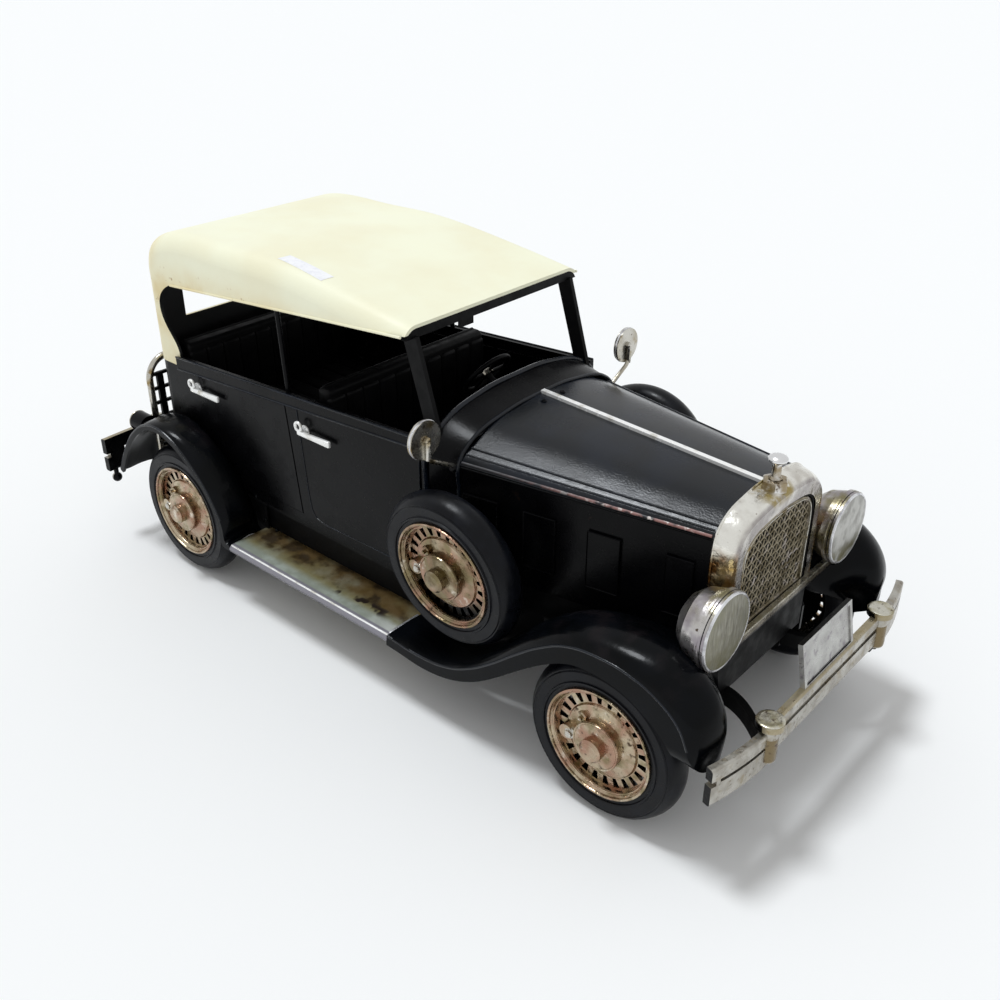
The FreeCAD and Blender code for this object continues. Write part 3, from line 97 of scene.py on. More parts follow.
def sheen(tree, size_mm, smooth, dull, high=0.7):
    """A roughness that wanders between two values in patches about size_mm across."""
    return blotches(tree, size_mm, 0.3, high, values=(smooth, dull))


def grain(tree, size_mm, detail=4.0, stretch=(1.0, 1.0, 1.0)):
    """A fine relief of grit, dents or brush marks, drawn coarser than the real ones so that it shows."""
    return blotches(tree, size_mm, 0.2, 0.8, detail, stretch)


def inner_faces(tree, centre_mm=(0.0, 0.0, 0.0), axes=(1.0, 0.0, 0.0)):
    """1 on faces that look towards a point in the middle, along the given axes, and 0 on the others."""
    geometry = add(tree, "ShaderNodeNewGeometry")
    centre = [c * MM for c in centre_mm]
    out_from = add(tree, "ShaderNodeVectorMath", {"operation": "SUBTRACT"},
                   {0: geometry.outputs["Position"], 1: centre})
    flat = add(tree, "ShaderNodeVectorMath", {"operation": "MULTIPLY"}, {0: out_from.outputs[0], 1: axes})
    facing = add(tree, "ShaderNodeVectorMath", {"operation": "DOT_PRODUCT"},
                 {0: flat.outputs[0], 1: geometry.outputs["True Normal"]})
    inward = add(tree, "ShaderNodeMath", {"operation": "LESS_THAN"},
                 {0: facing.outputs["Value"], 1: -0.5 * MM})
    return inward.outputs[0]


def overlap(tree, *masks):
    """The part that all the masks share."""
    whole = masks[0]
    for mask in masks[1:]:
        whole = add(tree, "ShaderNodeMath", {"operation": "MULTIPLY"}, {0: whole, 1: mask}).outputs[0]
    return whole


def union(tree, *masks):
    """The part that any of the masks covers."""
    whole = masks[0]
    for mask in masks[1:]:
        whole = add(tree, "ShaderNodeMath", {"operation": "MAXIMUM"}, {0: whole, 1: mask}).outputs[0]
    return whole


def inner_band(tree, start_mm, end_mm):
    """0 farther from the car's middle than start_mm and 1 nearer than end_mm, on both sides of the car."""
    return overlap(tree, along(tree, Y, -start_mm, -end_mm), along(tree, Y, start_mm, end_mm))


def outer_band(tree, start_mm, end_mm):
    """0 nearer to the car's middle than start_mm and 1 farther out than end_mm, on both sides of the car."""
    return union(tree, along(tree, Y, -start_mm, -end_mm), along(tree, Y, start_mm, end_mm))


def layered(tree, base, *layers):
    """A base colour with layers over it, each a mask and a colour."""
    top = colour(base)
    for mask, paint in layers:
        # Inputs 6 and 7 are the mix node's colours, and output 2 is their mix
        mix = add(tree, "ShaderNodeMix", {"data_type": "RGBA"}, {0: mask, 6: top, 7: colour(paint)})
        top = mix.outputs[2]
    return top


def surfaced(material, base, roughness=None, relief=None, depth_mm=0.04):
    """Joins the colour, the roughness and the fine relief to the material's shader."""
    tree = material.node_tree
    shader = tree.nodes["Principled BSDF"]
    tree.links.new(base, shader.inputs["Base Color"])
    if roughness is not None:
        tree.links.new(roughness, shader.inputs["Roughness"])
    if relief is not None:
        bump = add(tree, "ShaderNodeBump",
                   inputs={"Height": relief, "Distance": depth_mm * MM, "Strength": 0.5})
        tree.links.new(bump.outputs[0], shader.inputs["Normal"])
    return material


def black_enamel():
    # Stoved black enamel on the doors and the body: deep black, hardly any sheen, worn brown in a few places
    material, tree = finish("black stoved enamel", IOR=1.5, Specular_IOR_Level=0.1)
    worn = overlap(tree, blotches(tree, 3.0, 0.66, 0.74, 6.0), blotches(tree, 22, 0.52, 0.64))
    base = layered(tree, "030304", (blotches(tree, 14, 0.35, 0.7), "070709"), (worn, "241A17"))
    return surfaced(material, base, sheen(tree, 6, 0.22, 0.32, 0.75), grain(tree, 0.7, 2.0), 0.02)


def hood_enamel():
    # The same enamel on the hood and the beads: a slate sheen with a fine grain, crisp along the shoulders,
    # and a faint blue tint in its black as painted sheen
    material, tree = finish("grained black enamel", IOR=1.5, Specular_IOR_Level=0.24,
                            Coat_Weight=0.15, Coat_Roughness=0.14)
    # The blue tint of these two blacks is painted sheen
    base = layered(tree, "05090F", (blotches(tree, 14, 0.35, 0.7), "0B121D"))
    return surfaced(material, base, sheen(tree, 9, 0.22, 0.28), grain(tree, 0.45, 2.0), 0.05)


def fender_enamel():
    # Glossier black on the fenders: small crisp lights, and brown patches on the crowns as painted sheen
    material, tree = finish("glossy black enamel", IOR=1.5, Specular_IOR_Level=0.07,
                            Coat_Weight=0.06, Coat_Roughness=0.08)
    # Painted sheen: brown patches on the high crowns
    crown_sheen = overlap(tree, blotches(tree, 9, 0.5, 0.7, 6.0), along(tree, Z, 46.0, 56.0))
    base = layered(tree, "030405", (blotches(tree, 12, 0.35, 0.7), "07090D"), (crown_sheen, "151214"))
    return surfaced(material, base, sheen(tree, 5, 0.19, 0.26, 0.75), grain(tree, 1.4, 2.0), 0.02)


def satin_black():
    # Thin satin black paint on the hidden tin of the cabin, chassis and rack: duller, with grey dust
    material, tree = finish("satin black paint", IOR=1.45, Specular_IOR_Level=0.15)
    base = layered(tree, "040405", (blotches(tree, 9, 0.4, 0.75), "0A0A0B"))
    return surfaced(material, base, sheen(tree, 4, 0.42, 0.58), grain(tree, 0.9, 2.0), 0.03)


def cream_enamel():
    # Cream enamel over the pressed roof: tan patina at the side edges and the rear, brush marks across, and
    # black on the inside
    material, tree = finish("cream enamel", IOR=1.5)
    low = union(tree, along(tree, Z, 110.5, 100.0), along(tree, X, -95.0, -107.0))
    edge = overlap(tree, low, blotches(tree, 11, 0.3, 0.7, 6.0, values=(0.35, 0.9)))
    spots = overlap(tree, blotches(tree, 2.2, 0.64, 0.74, 6.0), low)
    inside = inner_faces(tree, (-45.0, 0.0, 75.0), (1.0, 1.0, 1.0))
    base = layered(tree, "F9F9DE", (blotches(tree, 30, 0.35, 0.7), "F5F1D2"), (edge, "E2CE98"),
                   (spots, "AF8C55"), (inside, "0B0B0C"))
    return surfaced(material, base, sheen(tree, 8, 0.42, 0.54), grain(tree, 1.2, 3.0, (1.0, 0.25, 1.0)), 0.04)


def tyre_rubber():
    # Moulded black rubber, smooth, a little grey on the sidewalls, and tinted faint blue as painted sheen,
    # most seen on the shoulders
    material, tree = finish("moulded tyre rubber", IOR=1.52, Specular_IOR_Level=0.15)
    # The faint blue of both colours is painted sheen
    base = layered(tree, "07080C", (blotches(tree, 6, 0.35, 0.75), "0E1016"))
    return surfaced(material, base, sheen(tree, 3, 0.26, 0.4), grain(tree, 0.9, 2.0), 0.02)


def wheel_lacquer():
    # Pressed tin lacquered in old gold: copper where the lacquer has gone, olive grime, most of it on the
    # spares, pale rubbed spots, and black paint on the back
    material, tree = finish("gold lacquered tin", Metallic=1.0)
    back = inner_band(tree, 47.6, 46.9)
    spares = overlap(tree, along(tree, X, 60.0, 54.0), along(tree, X, 0.0, 10.0),
                     blotches(tree, 6, 0.3, 0.58, 4.0))
    base = layered(tree, "BCAF96", (spares, "6E6148"), (blotches(tree, 7, 0.35, 0.65, 4.0), "A98672"),
                   (blotches(tree, 4, 0.46, 0.7, 5.0, shift=0.3), "85795A"),
                   (blotches(tree, 3.0, 0.6, 0.78, 4.0, shift=0.7), "D8CEBE"),
                   (blotches(tree, 1.6, 0.6, 0.76, 6.0, shift=0.2), "4E4032"), (back, "0B0A0A"))
    return surfaced(material, base, sheen(tree, 2, 0.16, 0.3), grain(tree, 1.6), 0.16)


def galvanised_tin():
    # Bare galvanised tin: grey-green with pale scuffs, rust along the inner edge, dark stains towards the
    # front and a brighter front end
    material, tree = finish("galvanised tin", Metallic=0.2)
    near = inner_band(tree, 45.8, 42.2)
    rust = overlap(tree, near, blotches(tree, 10, 0.34, 0.6, 5.0, shift=0.5, values=(0.5, 1.0)))
    deep = overlap(tree, near, blotches(tree, 6, 0.44, 0.64, 5.0, shift=0.9))
    olive = overlap(tree, inner_band(tree, 48.4, 44.8),
                    blotches(tree, 12, 0.3, 0.6, 4.0, shift=0.2, values=(0.35, 1.0)))
    row = overlap(tree, inner_band(tree, 48.0, 45.5), outer_band(tree, 41.0, 44.0),
                  along(tree, X, -16.0, -10.0), along(tree, X, 12.0, 7.0))
    stains = overlap(tree, row, blotches(tree, 3.4, 0.5, 0.6, 1.0, shift=0.11))
    rolled = outer_band(tree, 49.6, 50.2)
    bright = overlap(tree, along(tree, X, 2.0, 16.0, (0.0, 0.8)), outer_band(tree, 45.0, 48.0))
    base = layered(tree, "979E91", (blotches(tree, 4, 0.4, 0.7, 6.0), "A5ADA3"), (olive, "7F7852"),
                   (rust, "594624"), (deep, "32250F"), (stains, "21160F"),
                   (bright, "CDD0CA"), (rolled, "85838B"))
    return surfaced(material, base, sheen(tree, 4, 0.34, 0.5), grain(tree, 1.1), 0.06)


def aged_nickel():
    # Nickel plate gone dull: pale and bright on top, yellow-brown stains, darker pits
    material, tree = finish("aged nickel plate", Metallic=0.95)
    base = layered(tree, "C9C6BE", (blotches(tree, 6, 0.35, 0.7, 5.0), "AEA797"),
                   (blotches(tree, 4, 0.52, 0.7, 6.0, shift=0.4), "95825A"),
                   (blotches(tree, 1.5, 0.62, 0.74, 6.0, shift=0.9), "5E4E3A"))
    return surfaced(material, base, sheen(tree, 2.5, 0.16, 0.3), grain(tree, 1.0), 0.06)


def lamp_nickel():
    # Lamp bowls: nickel with a violet-grey tone, olive-gold stains gathered on top and towards the middle,
    # and painted shade in darker brown patches on the lower part
    material, tree = finish("stained lamp nickel", Metallic=0.95)
    middle = overlap(tree, along(tree, Y, -29.0, -23.0), along(tree, Y, 32.0, 23.0))
    gold = overlap(tree, union(tree, middle, along(tree, Z, 63.0, 69.0)),
                   blotches(tree, 5, 0.34, 0.62, 6.0, shift=0.6))
    # Painted shade: darker brown patches on the lower part of the bowls
    under = overlap(tree, along(tree, Z, 55.0, 50.0), blotches(tree, 4, 0.35, 0.6, 5.0))
    base = layered(tree, "C6C3C0", (blotches(tree, 5, 0.35, 0.65, 5.0), "9A9398"), (gold, "817A5E"),
                   (under, "5B5148"),
                   (blotches(tree, 1.4, 0.62, 0.72, 6.0, shift=0.9), "54463A"))
    return surfaced(material, base, sheen(tree, 2.5, 0.24, 0.38), grain(tree, 1.3), 0.08)


def bar_nickel():
    # The lamp bar: a cream-bright upper edge as painted highlight over a grey-brown face, and painted shade
    # dark along the bottom and behind
    material, tree = finish("rubbed nickel bar", Metallic=0.9)
    # Painted highlight on the upper edge, painted shade along the bottom and on the faces behind
    base = layered(tree, "E2DDCC", (blotches(tree, 4, 0.4, 0.7, 5.0), "C8BF9F"),
                   (along(tree, Z, 48.3, 47.7), "857C6C"), (along(tree, Z, 46.9, 46.3), "2C2622"),
                   (inner_faces(tree), "141312"))
    return surfaced(material, base, sheen(tree, 2, 0.22, 0.36), grain(tree, 1.0), 0.05)


def bumper_nickel():
    # The same nickel on the bumpers: tan-gold along the upper edge, scuffed pale faces, brown in the dents,
    # and black on the faces towards the car
    material, tree = finish("scuffed nickel bumper", Metallic=0.85)
    base = layered(tree, "B9B6AE", (blotches(tree, 6, 0.35, 0.65, 5.0), "9A958B"),
                   (blotches(tree, 3, 0.5, 0.72, 6.0, shift=0.4), "978C76"),
                   (blotches(tree, 1.2, 0.58, 0.74, 6.0, shift=0.9), "6A5E4E"),
                   (along(tree, Z, 37.8, 38.2, (0.0, 0.6)), "A5966F"),
                   (inner_faces(tree), "0C0C0D"))
    return surfaced(material, base, sheen(tree, 2.5, 0.24, 0.4), grain(tree, 0.9), 0.08)


def clamp_nickel():
    # Tarnished nickel on the bumper clamps: gold-brown drums under greyish bright heads
    material, tree = finish("tarnished clamp nickel", Metallic=0.95)
    base = layered(tree, "CBC8BC", (blotches(tree, 4, 0.4, 0.66, 5.0), "A59E80"),
                   (along(tree, Z, 39.0, 38.3), "7C6E54"),
                   (blotches(tree, 1.5, 0.58, 0.7, 6.0, shift=0.9), "57483A"))
    return surfaced(material, base, sheen(tree, 2, 0.18, 0.32), grain(tree, 1.0), 0.06)


def plate_tin():
    # Number plate: pale rubbed tin, violet-grey in the hollows and black behind
    material, tree = finish("pale plate tin", Metallic=0.6)
    base = layered(tree, "BBBBB7", (blotches(tree, 5, 0.35, 0.7, 5.0), "A3A19F"),
                   (blotches(tree, 2, 0.54, 0.72, 6.0, shift=0.3), "8A8489"),
                   (inner_faces(tree), "0C0C0D"))
    return surfaced(material, base, sheen(tree, 2, 0.26, 0.4), grain(tree, 0.9), 0.06)


def shell_nickel():
    # Nickel on the radiator shell: bright on top, its sides stained gold and rust, gold under the cap,
    # violet-grey painted shade and brown on the front face, dark brown inside
    material, tree = finish("stained nickel shell", Metallic=0.95)
    side = overlap(tree, outer_band(tree, 20.6, 22.0), along(tree, Z, 76.0, 69.0))
    golden = overlap(tree, side, blotches(tree, 7, 0.3, 0.5, 5.0, values=(0.6, 1.0)))
    rust = overlap(tree, side, blotches(tree, 3, 0.46, 0.62, 5.0, shift=0.3))
    under_cap = overlap(tree, along(tree, Y, -9.5, -5.0), along(tree, Y, 6.5, 3.0),
                        blotches(tree, 3, 0.34, 0.55, 5.0), along(tree, Z, 79.0, 82.0))
    # Painted shade: the darker violet-grey on the front face
    face = overlap(tree, along(tree, X, 109.4, 110.3), blotches(tree, 5, 0.3, 0.6, 5.0, values=(0.35, 0.8)))
    base = layered(tree, "ECEAE2", (blotches(tree, 6, 0.4, 0.7, 5.0), "CAC5BC"), (face, "8B8484"),
                   (golden, "9C8558"), (rust, "855A2C"), (under_cap, "A08F5C"),
                   (blotches(tree, 1.5, 0.68, 0.78, 6.0, shift=0.9), "6E5E4E"),
                   (inner_faces(tree, (0.0, 0.0, 62.0), (0.0, 1.0, 1.0)), "201C18"))
    return surfaced(material, base, sheen(tree, 2.5, 0.16, 0.28), grain(tree, 4.0, 3.0), 0.35)


def cap_nickel():
    # Filler cap: a bright knob on a stem and a nut stained brown
    material, tree = finish("stained cap nickel", Metallic=0.95)
    low = along(tree, Z, 89.6, 88.6)
    brown = overlap(tree, low, blotches(tree, 3, 0.3, 0.6, 5.0, values=(0.2, 0.9)))
    pits = overlap(tree, low, blotches(tree, 1.4, 0.58, 0.72, 5.0, shift=0.4))
    base = layered(tree, "E4E4E4", (brown, "8C7A56"), (pits, "4E3A24"))
    return surfaced(material, base, sheen(tree, 2, 0.12, 0.24), grain(tree, 0.9), 0.05)


def polished_tin():
    # Polished tin strip and small trim: almost white, faint hazing
    material, tree = finish("polished bright tin", Metallic=0.35)
    base = layered(tree, "FAFAF8", (blotches(tree, 3, 0.5, 0.72, 4.0), "D2CEC4"))
    return surfaced(material, base, sheen(tree, 2, 0.16, 0.28))


def lamp_disc():
    # Lamp faces: tin discs brushed upright, in lines coarse enough to show, greenish on the right and paler
    # on the left, olive at the bottom
    material, tree = finish("brushed lamp disc", Metallic=0.5)
    upright = (1.0, 1.0, 0.2)
    streak = blotches(tree, 0.7, 0.3, 0.75, 3.0, upright)
    left = along(tree, Y, -10.0, 10.0)
    base = layered(tree, "A09D90", (streak, "716E60"),
                   (blotches(tree, 6, 0.35, 0.65, 4.0, shift=0.3), "86846F"),
                   (left, "B6B5B0"), (overlap(tree, left, blotches(tree, 4, 0.4, 0.62, 4.0)), "8E8C86"),
                   (overlap(tree, along(tree, Z, 58.0, 51.0), blotches(tree, 4, 0.35, 0.6)), "6F6A48"))
    return surfaced(material, base, blotches(tree, 0.8, 0.3, 0.75, 3.0, upright, values=(0.3, 0.46)),
                    streak, 0.1)


def grille_bronze():
    # Woven wire mesh, dull bronze, paler where it is rubbed
    material, tree = finish("bronze wire mesh", Metallic=0.9)
    base = layered(tree, "928975", (blotches(tree, 5, 0.4, 0.65, 5.0), "6C634F"),
                   (blotches(tree, 3, 0.55, 0.7, 5.0, shift=0.5), "ABA39C"))
    return surfaced(material, base, sheen(tree, 2, 0.3, 0.44))


def axle_steel():
    # Plain drawn steel rod with a brown film
    material, tree = finish("drawn steel", Metallic=1.0)
    base = layered(tree, "8C8A86", (blotches(tree, 3, 0.45, 0.65, 5.0), "5C4A3C"))
    return surfaced(material, base, sheen(tree, 2, 0.3, 0.5))


def worn_seam():
    # The seam under the hood's shoulder: enamel rubbed through to copper-red primer and bare tin at the front
    material, tree = finish("rubbed enamel seam", IOR=1.5, Roughness=0.34)
    rubbed = overlap(tree, blotches(tree, 3.4, 0.4, 0.52, 6.0), along(tree, X, 40.0, 84.0))
    bare = overlap(tree, blotches(tree, 1.6, 0.54, 0.62, 5.0, shift=0.4), along(tree, X, 46.0, 92.0))
    base = layered(tree, "1E1C20", (rubbed, "8E6660"), (bare, "D5CCC6"))
    return surfaced(material, base, None, grain(tree, 1.0), 0.05)


def scuffed_tin():
    # Tin rims and edges rubbed bright, darker in their dents
    material, tree = finish("rubbed bright tin", Metallic=0.8)
    base = layered(tree, "DCDCDE", (blotches(tree, 4, 0.48, 0.7, 5.0, (0.3, 1.0, 1.0)), "9A989C"))
    return surfaced(material, base, sheen(tree, 2, 0.22, 0.38), grain(tree, 1.5, 4.0, (0.3, 1.0, 1.0)), 0.04)


def label_paper():
    # White paper of the sticker and the dials, faintly grey at the fibres
    material, tree = finish("white paper label", IOR=1.45)
    base = layered(tree, "FAFAFC", (blotches(tree, 2, 0.4, 0.7), "EDEDF3"))
    return surfaced(material, base, sheen(tree, 1, 0.4, 0.5))


def red_lens():
    # Small pressed lens painted deep red
    material, tree = finish("deep red lens", IOR=1.5, Coat_Weight=0.4)
    base = layered(tree, "5C0E10", (blotches(tree, 2, 0.4, 0.7), "38090B"))
    return surfaced(material, base, sheen(tree, 1.5, 0.15, 0.25))


# Each finish: its material and the material slot of its pieces
FINISH = {
    "black": (black_enamel(), "black_enamel"),
    "hood": (hood_enamel(), "black_enamel"),
    "gloss": (fender_enamel(), "black_enamel"),
    "satin": (satin_black(), "black_enamel"),
    "cream": (cream_enamel(), "cream_enamel"),
    "rubber": (tyre_rubber(), "tyre_rubber"),
    "bronze": (wheel_lacquer(), "wheel_bronze"),
    "tin": (galvanised_tin(), "bare_tin"),
    "nickel": (aged_nickel(), "aged_nickel"),
    "lamp": (lamp_nickel(), "aged_nickel"),
    "bar": (bar_nickel(), "aged_nickel"),
    "clamp": (clamp_nickel(), "aged_nickel"),
    "plate": (plate_tin(), "aged_nickel"),
    "cap": (cap_nickel(), "aged_nickel"),
    "bumper": (bumper_nickel(), "aged_nickel"),
    "shell": (shell_nickel(), "aged_nickel"),
    "bright": (polished_tin(), "aged_nickel"),
    "disc": (lamp_disc(), "lamp_disc"),
    "mesh": (grille_bronze(), "grille_bronze"),
    "steel": (axle_steel(), "axle_steel"),
    "worn": (worn_seam(), "black_enamel"),
    "scuffed": (scuffed_tin(), "bare_tin"),
    "paper": (label_paper(), "cream_enamel"),
    "red": (red_lens(), "lamp_disc"),
}
# The CAD pieces of each finish, without their side; all others are black
NODE_FINISH = {
    "satin": ("chassis_frame", "floor_pan", "bulkhead", "front_seat", "rear_seat", "steering_wheel",
              "rack_slats", "radiator_core", "windshield_frame"),
    "gloss": ("front_fender", "rear_fender", "tail_lamp"),
    "cream": ("roof",), "tin": ("running_board",), "bumper": ("front_bumper", "rear_bumper"),
    "hood": ("hood_top",), "lamp": ("headlamp",), "bar": ("headlamp_bar",), "plate": ("front_plate",),
    "nickel": ("radiator_cap", "rack_hoop", "mirror"),
    "shell": ("radiator_shell",), "bright": ("hood_hinge",), "disc": ("headlamp_lens",),
    "mesh": ("radiator_grille",), "steel": ("front_axle", "rear_axle"),
    "bronze": ("wheel_front", "wheel_rear", "spare_wheel"),
    "rubber": ("tyre_front", "tyre_rear", "spare_tyre"),
}


def finish_of(name):
    """The key of a CAD piece's finish."""
    plain = name.replace("_right", "").replace("_left", "")
    for key, names in NODE_FINISH.items():
        if plain in names:
            return key
    return "black"


for name, node in nodes.items():
    node.data.materials.clear()
    node.data.materials.append(FINISH[finish_of(name)][0])


# Modelling helpers, in millimetres
def clear():
    """Deselects everything."""
    bpy.ops.object.select_all(action="DESELECT")


def take(piece):
    """Selects one piece alone."""
    clear()
    piece.select_set(True)
    bpy.context.view_layer.objects.active = piece


def edit_all():
    """Enters edit mode with the whole shape selected."""
    bpy.ops.object.mode_set(mode="EDIT")
    bpy.ops.mesh.select_all(action="SELECT")


def baked(piece):
    """Applies a piece's modifiers and its place, so that its object sits at the origin."""
    take(piece)
    if piece.type == "CURVE":
        bpy.ops.object.convert(target="MESH")
        piece = bpy.context.object
    for modifier in list(piece.modifiers):
        bpy.ops.object.modifier_apply(modifier=modifier.name)
    bpy.ops.object.transform_apply()
    return piece


def outward(piece):
    """Merges doubles and turns all faces outward."""
    take(piece)
    edit_all()
    bpy.ops.mesh.remove_doubles(threshold=0.01 * MM)
    bpy.ops.mesh.normals_make_consistent(inside=False)
    bpy.ops.object.mode_set(mode="OBJECT")


def settled(piece, name, key, body="car", smooth=38):
    """Gives a finished piece its name, finish and body; edges under smooth degrees are blended."""
    material, slot = FINISH[key]
    piece = baked(piece)
    outward(piece)
    take(piece)
    bpy.ops.object.shade_smooth_by_angle(angle=math.radians(smooth))
    piece.name = name
    piece.data.name = name
    piece.data.materials.clear()
    piece.data.materials.append(material)
    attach(piece, body)
    return piece


def copied(piece, matrix):
    """A copy with its own mesh, moved by a matrix."""
    twin = piece.copy()
    twin.data = piece.data.copy()
    bpy.context.scene.collection.objects.link(twin)
    twin.data.transform(matrix)
    return twin


# Mirrors a piece from the right side of the car to its left
ACROSS = Matrix.Diagonal((1.0, -1.0, 1.0, 1.0))


def pair(piece, name, key):
    """A piece on the right side and its mirror image on the left."""
    piece = baked(piece)
    left = copied(piece, ACROSS)
    settled(piece, name + "_right", key)
    settled(left, name + "_left", key)


def joined(pieces):
    """Several shapes made one piece."""
    pieces = [baked(p) for p in pieces]
    clear()
    for p in pieces:
        p.select_set(True)
    bpy.context.view_layer.objects.active = pieces[0]
    bpy.ops.object.join()
    return bpy.context.object


def put(piece, at, towards=(0, 0, 1)):
    """Turns a piece's Z axis towards a direction and moves it to a point in millimetres."""
    turn = Vector(towards).to_track_quat("Z", "Y").to_matrix().to_4x4()
    piece.data.transform(Matrix.Translation(Vector(at) * MM) @ turn)
    return piece


def slab(low, high, edge, rounds=2):
    """A plate between two corners, its edges rounded over edge millimetres in rounds steps."""
    low = Vector(low) * MM
    high = Vector(high) * MM
    clear()
    bpy.ops.mesh.primitive_cube_add(size=1.0, location=(low + high) / 2)
    piece = bpy.context.object
    piece.scale = high - low
    bpy.ops.object.transform_apply()
    edit_all()
    bpy.ops.mesh.bevel(offset=edge * MM, segments=rounds)
    bpy.ops.object.mode_set(mode="OBJECT")
    return piece


def turned(steps, sides):
    """A turned piece on the Z axis: a disc whose face is extruded to each next radius and height."""
    clear()
    radius, height = steps[0]
    bpy.ops.mesh.primitive_circle_add(vertices=sides, radius=radius * MM, fill_type="NGON",
                                      location=(0, 0, height * MM))
    piece = bpy.context.object
    bpy.ops.object.transform_apply()
    edit_all()
    for next_radius, next_height in steps[1:]:
        rise = (next_height - height) * MM
        bpy.ops.mesh.extrude_region_move(TRANSFORM_OT_translate={"value": (0, 0, rise)})
        share = next_radius / radius
        bpy.ops.transform.resize(value=(share, share, 1.0), center_override=(0, 0, next_height * MM))
        radius, height = next_radius, next_height
    bpy.ops.object.mode_set(mode="OBJECT")
    return piece


def ring(profile, steps=72):
    """A ring on the Z axis: its section, given in radius and height, is spun all the way round."""
    clear()
    bpy.ops.mesh.primitive_circle_add(vertices=len(profile), radius=MM, fill_type="NOTHING")
    piece = bpy.context.object
    for vertex, (radius, height) in zip(piece.data.vertices, profile):
        vertex.co = (radius * MM, 0.0, height * MM)
    edit_all()
    bpy.ops.mesh.spin(steps=steps, angle=2 * math.pi, center=(0, 0, 0), axis=(0, 0, 1))
    bpy.ops.object.mode_set(mode="OBJECT")
    return piece


def round_section(radius, height, thick, count=10):
    """The outline of a round wire of radius thick, at a radius and a height."""
    angles = [2 * math.pi * i / count for i in range(count)]
    return [(radius + thick * math.cos(angle), height + thick * math.sin(angle)) for angle in angles]


def wire(points, thick, corner=False, closed=False, steps=8):
    """A round wire of radius thick through points: smooth, or straight from corner to corner."""
    clear()
    bpy.ops.curve.primitive_bezier_curve_add()
    piece = bpy.context.object
    line = piece.data.splines[0]
    line.bezier_points.add(len(points) - 2)
    for knot, point in zip(line.bezier_points, points):
        knot.co = Vector(point) * MM
    for knot in line.bezier_points:
        knot.handle_left_type = "VECTOR" if corner else "AUTO"
        knot.handle_right_type = "VECTOR" if corner else "AUTO"
    line.use_cyclic_u = closed
    piece.data.resolution_u = 1 if corner else steps
    piece.data.bevel_depth = thick * MM
    piece.data.bevel_resolution = 2
    piece.data.use_fill_caps = not closed
    return baked(piece)


def mirrored(x, side, top_z):
    """Points of an arch across the car at x: up its right side, over the top and down its left side."""
    return [(x, -y, z) for y, z in side] + [(x, 0.0, top_z)] + [(x, y, z) for y, z in reversed(side)]


# Sizes taken over from the tin parts, in millimetres and degrees
FLOOR_Z = 33.4
AXLE_Z = 23.5
TYRE_R = 23.5
FRONT_AXLE_X = 92.7
REAR_AXLE_X = -87.0
BODY_FRONT_X = 21.3
BELT_REAR_X = -103.5
BELT_FRONT_X = 20.0
COWL_FRONT_X = 32.0
COWL_HALF = 35.2
HOOD_FRONT_X = 104.0
HOOD_FRONT_HALF = 22.8
POST_X = -36.6
SIDE_Y = 38.0
SHOULDER_Z = 76.8
HOOD_TOP_Z = 86.7
NOSE_TOP_Z = 82.9
COWL_TOP_Z = 89.5
FENDER_FACE_Y = 51.7
RIM_FACE_Y = 50.2
SPARE_AT = (38.5, -50.0, 51.0)
SPARE_LEAN = 5.0
LAMP_AT = (114.9, -31.8, 59.6)
TAIL_LAMP_AT = (-117.35, -44.6, 47.1)
BAR_TOP = 38.4
CLAMP_X = 128.9
CLAMP_Y = 30.6

# Directions that small round pieces face
FORWARD = (1, 0, 0)
BACKWARD = (-1, 0, 0)
TO_THE_RIGHT = (0, -1, 0)


def between(x, x0, v0, x1, v1):
    """The value at x on the straight line from v0 at x0 to v1 at x1."""
    return v0 + (v1 - v0) * (x - x0) / (x1 - x0)


def belt_low(x):
    """The height of the belt rail's lower edge."""
    return between(x, BELT_REAR_X, 70.4, BELT_FRONT_X, 78.9)


def belt_top(x):
    """The height of the belt rail's upper edge."""
    return belt_low(x) + between(x, BELT_REAR_X, 4.3, BELT_FRONT_X, 3.1)


def hood_y(x):
    """Half the width of the hood, which narrows to the front."""
    return between(x, COWL_FRONT_X, COWL_HALF, HOOD_FRONT_X, HOOD_FRONT_HALF)


def roof_low(x):
    """The height of the roof's side edge."""
    return between(x, -97.4, 100.0, 12.0, 109.4)


# Door handles: a flat lever with a ring eye on a round boss
def door_handles():
    length = 14.2
    for name, x, z in (("front_handle", -31.0, 68.4), ("rear_handle", -86.6, 66.6)):
        boss = turned([(1.9, 0.0), (1.9, 0.4), (1.5, 0.7), (1.2, 2.0)], 24)
        put(boss, (x + 1.0, -SIDE_Y - 0.1, z), TO_THE_RIGHT)
        lever = slab((x, -SIDE_Y - 3.0, z - 0.9), (x + length, -SIDE_Y - 1.7, z + 0.9), 0.45, 3)
        for vertex in lever.data.vertices:
            reach = (vertex.co.x / MM - x) / length
            vertex.co.z = z * MM + (vertex.co.z - z * MM) * (0.75 + 0.45 * reach)
            vertex.co.y += 0.5 * MM * reach * reach
        eye = put(ring(round_section(1.35, 0.0, 0.5), 28), (x + 0.3, -SIDE_Y - 2.3, z + 1.9), TO_THE_RIGHT)
        pair(joined([lever, boss, eye]), name, "bright")


# Running boards: a bright rib as painted highlight and a black line as painted shade along the rolled edge,
# and a bright strip across the front end
def board_trim():
    def along_board(y, z, thick):
        return wire([(-59.0, y, z), (-20.0, y, z), (16.7, y, z)], thick)

    roll_radius = 1.42
    tilt = math.radians(64.0)
    # A near-white rib as painted highlight on top of the roll, and a black line under it as painted shade
    rib = along_board(-50.5 - roll_radius * math.cos(tilt), 20.0 + roll_radius * math.sin(tilt), 0.34)
    pair(rib, "board_ribs", "bright")
    pair(along_board(-51.85, 19.7, 0.14), "board_groove", "satin")
    pair(slab((16.1, -50.4, 21.4), (17.0, -38.4, 21.9), 0.2), "board_front_strip", "scuffed")


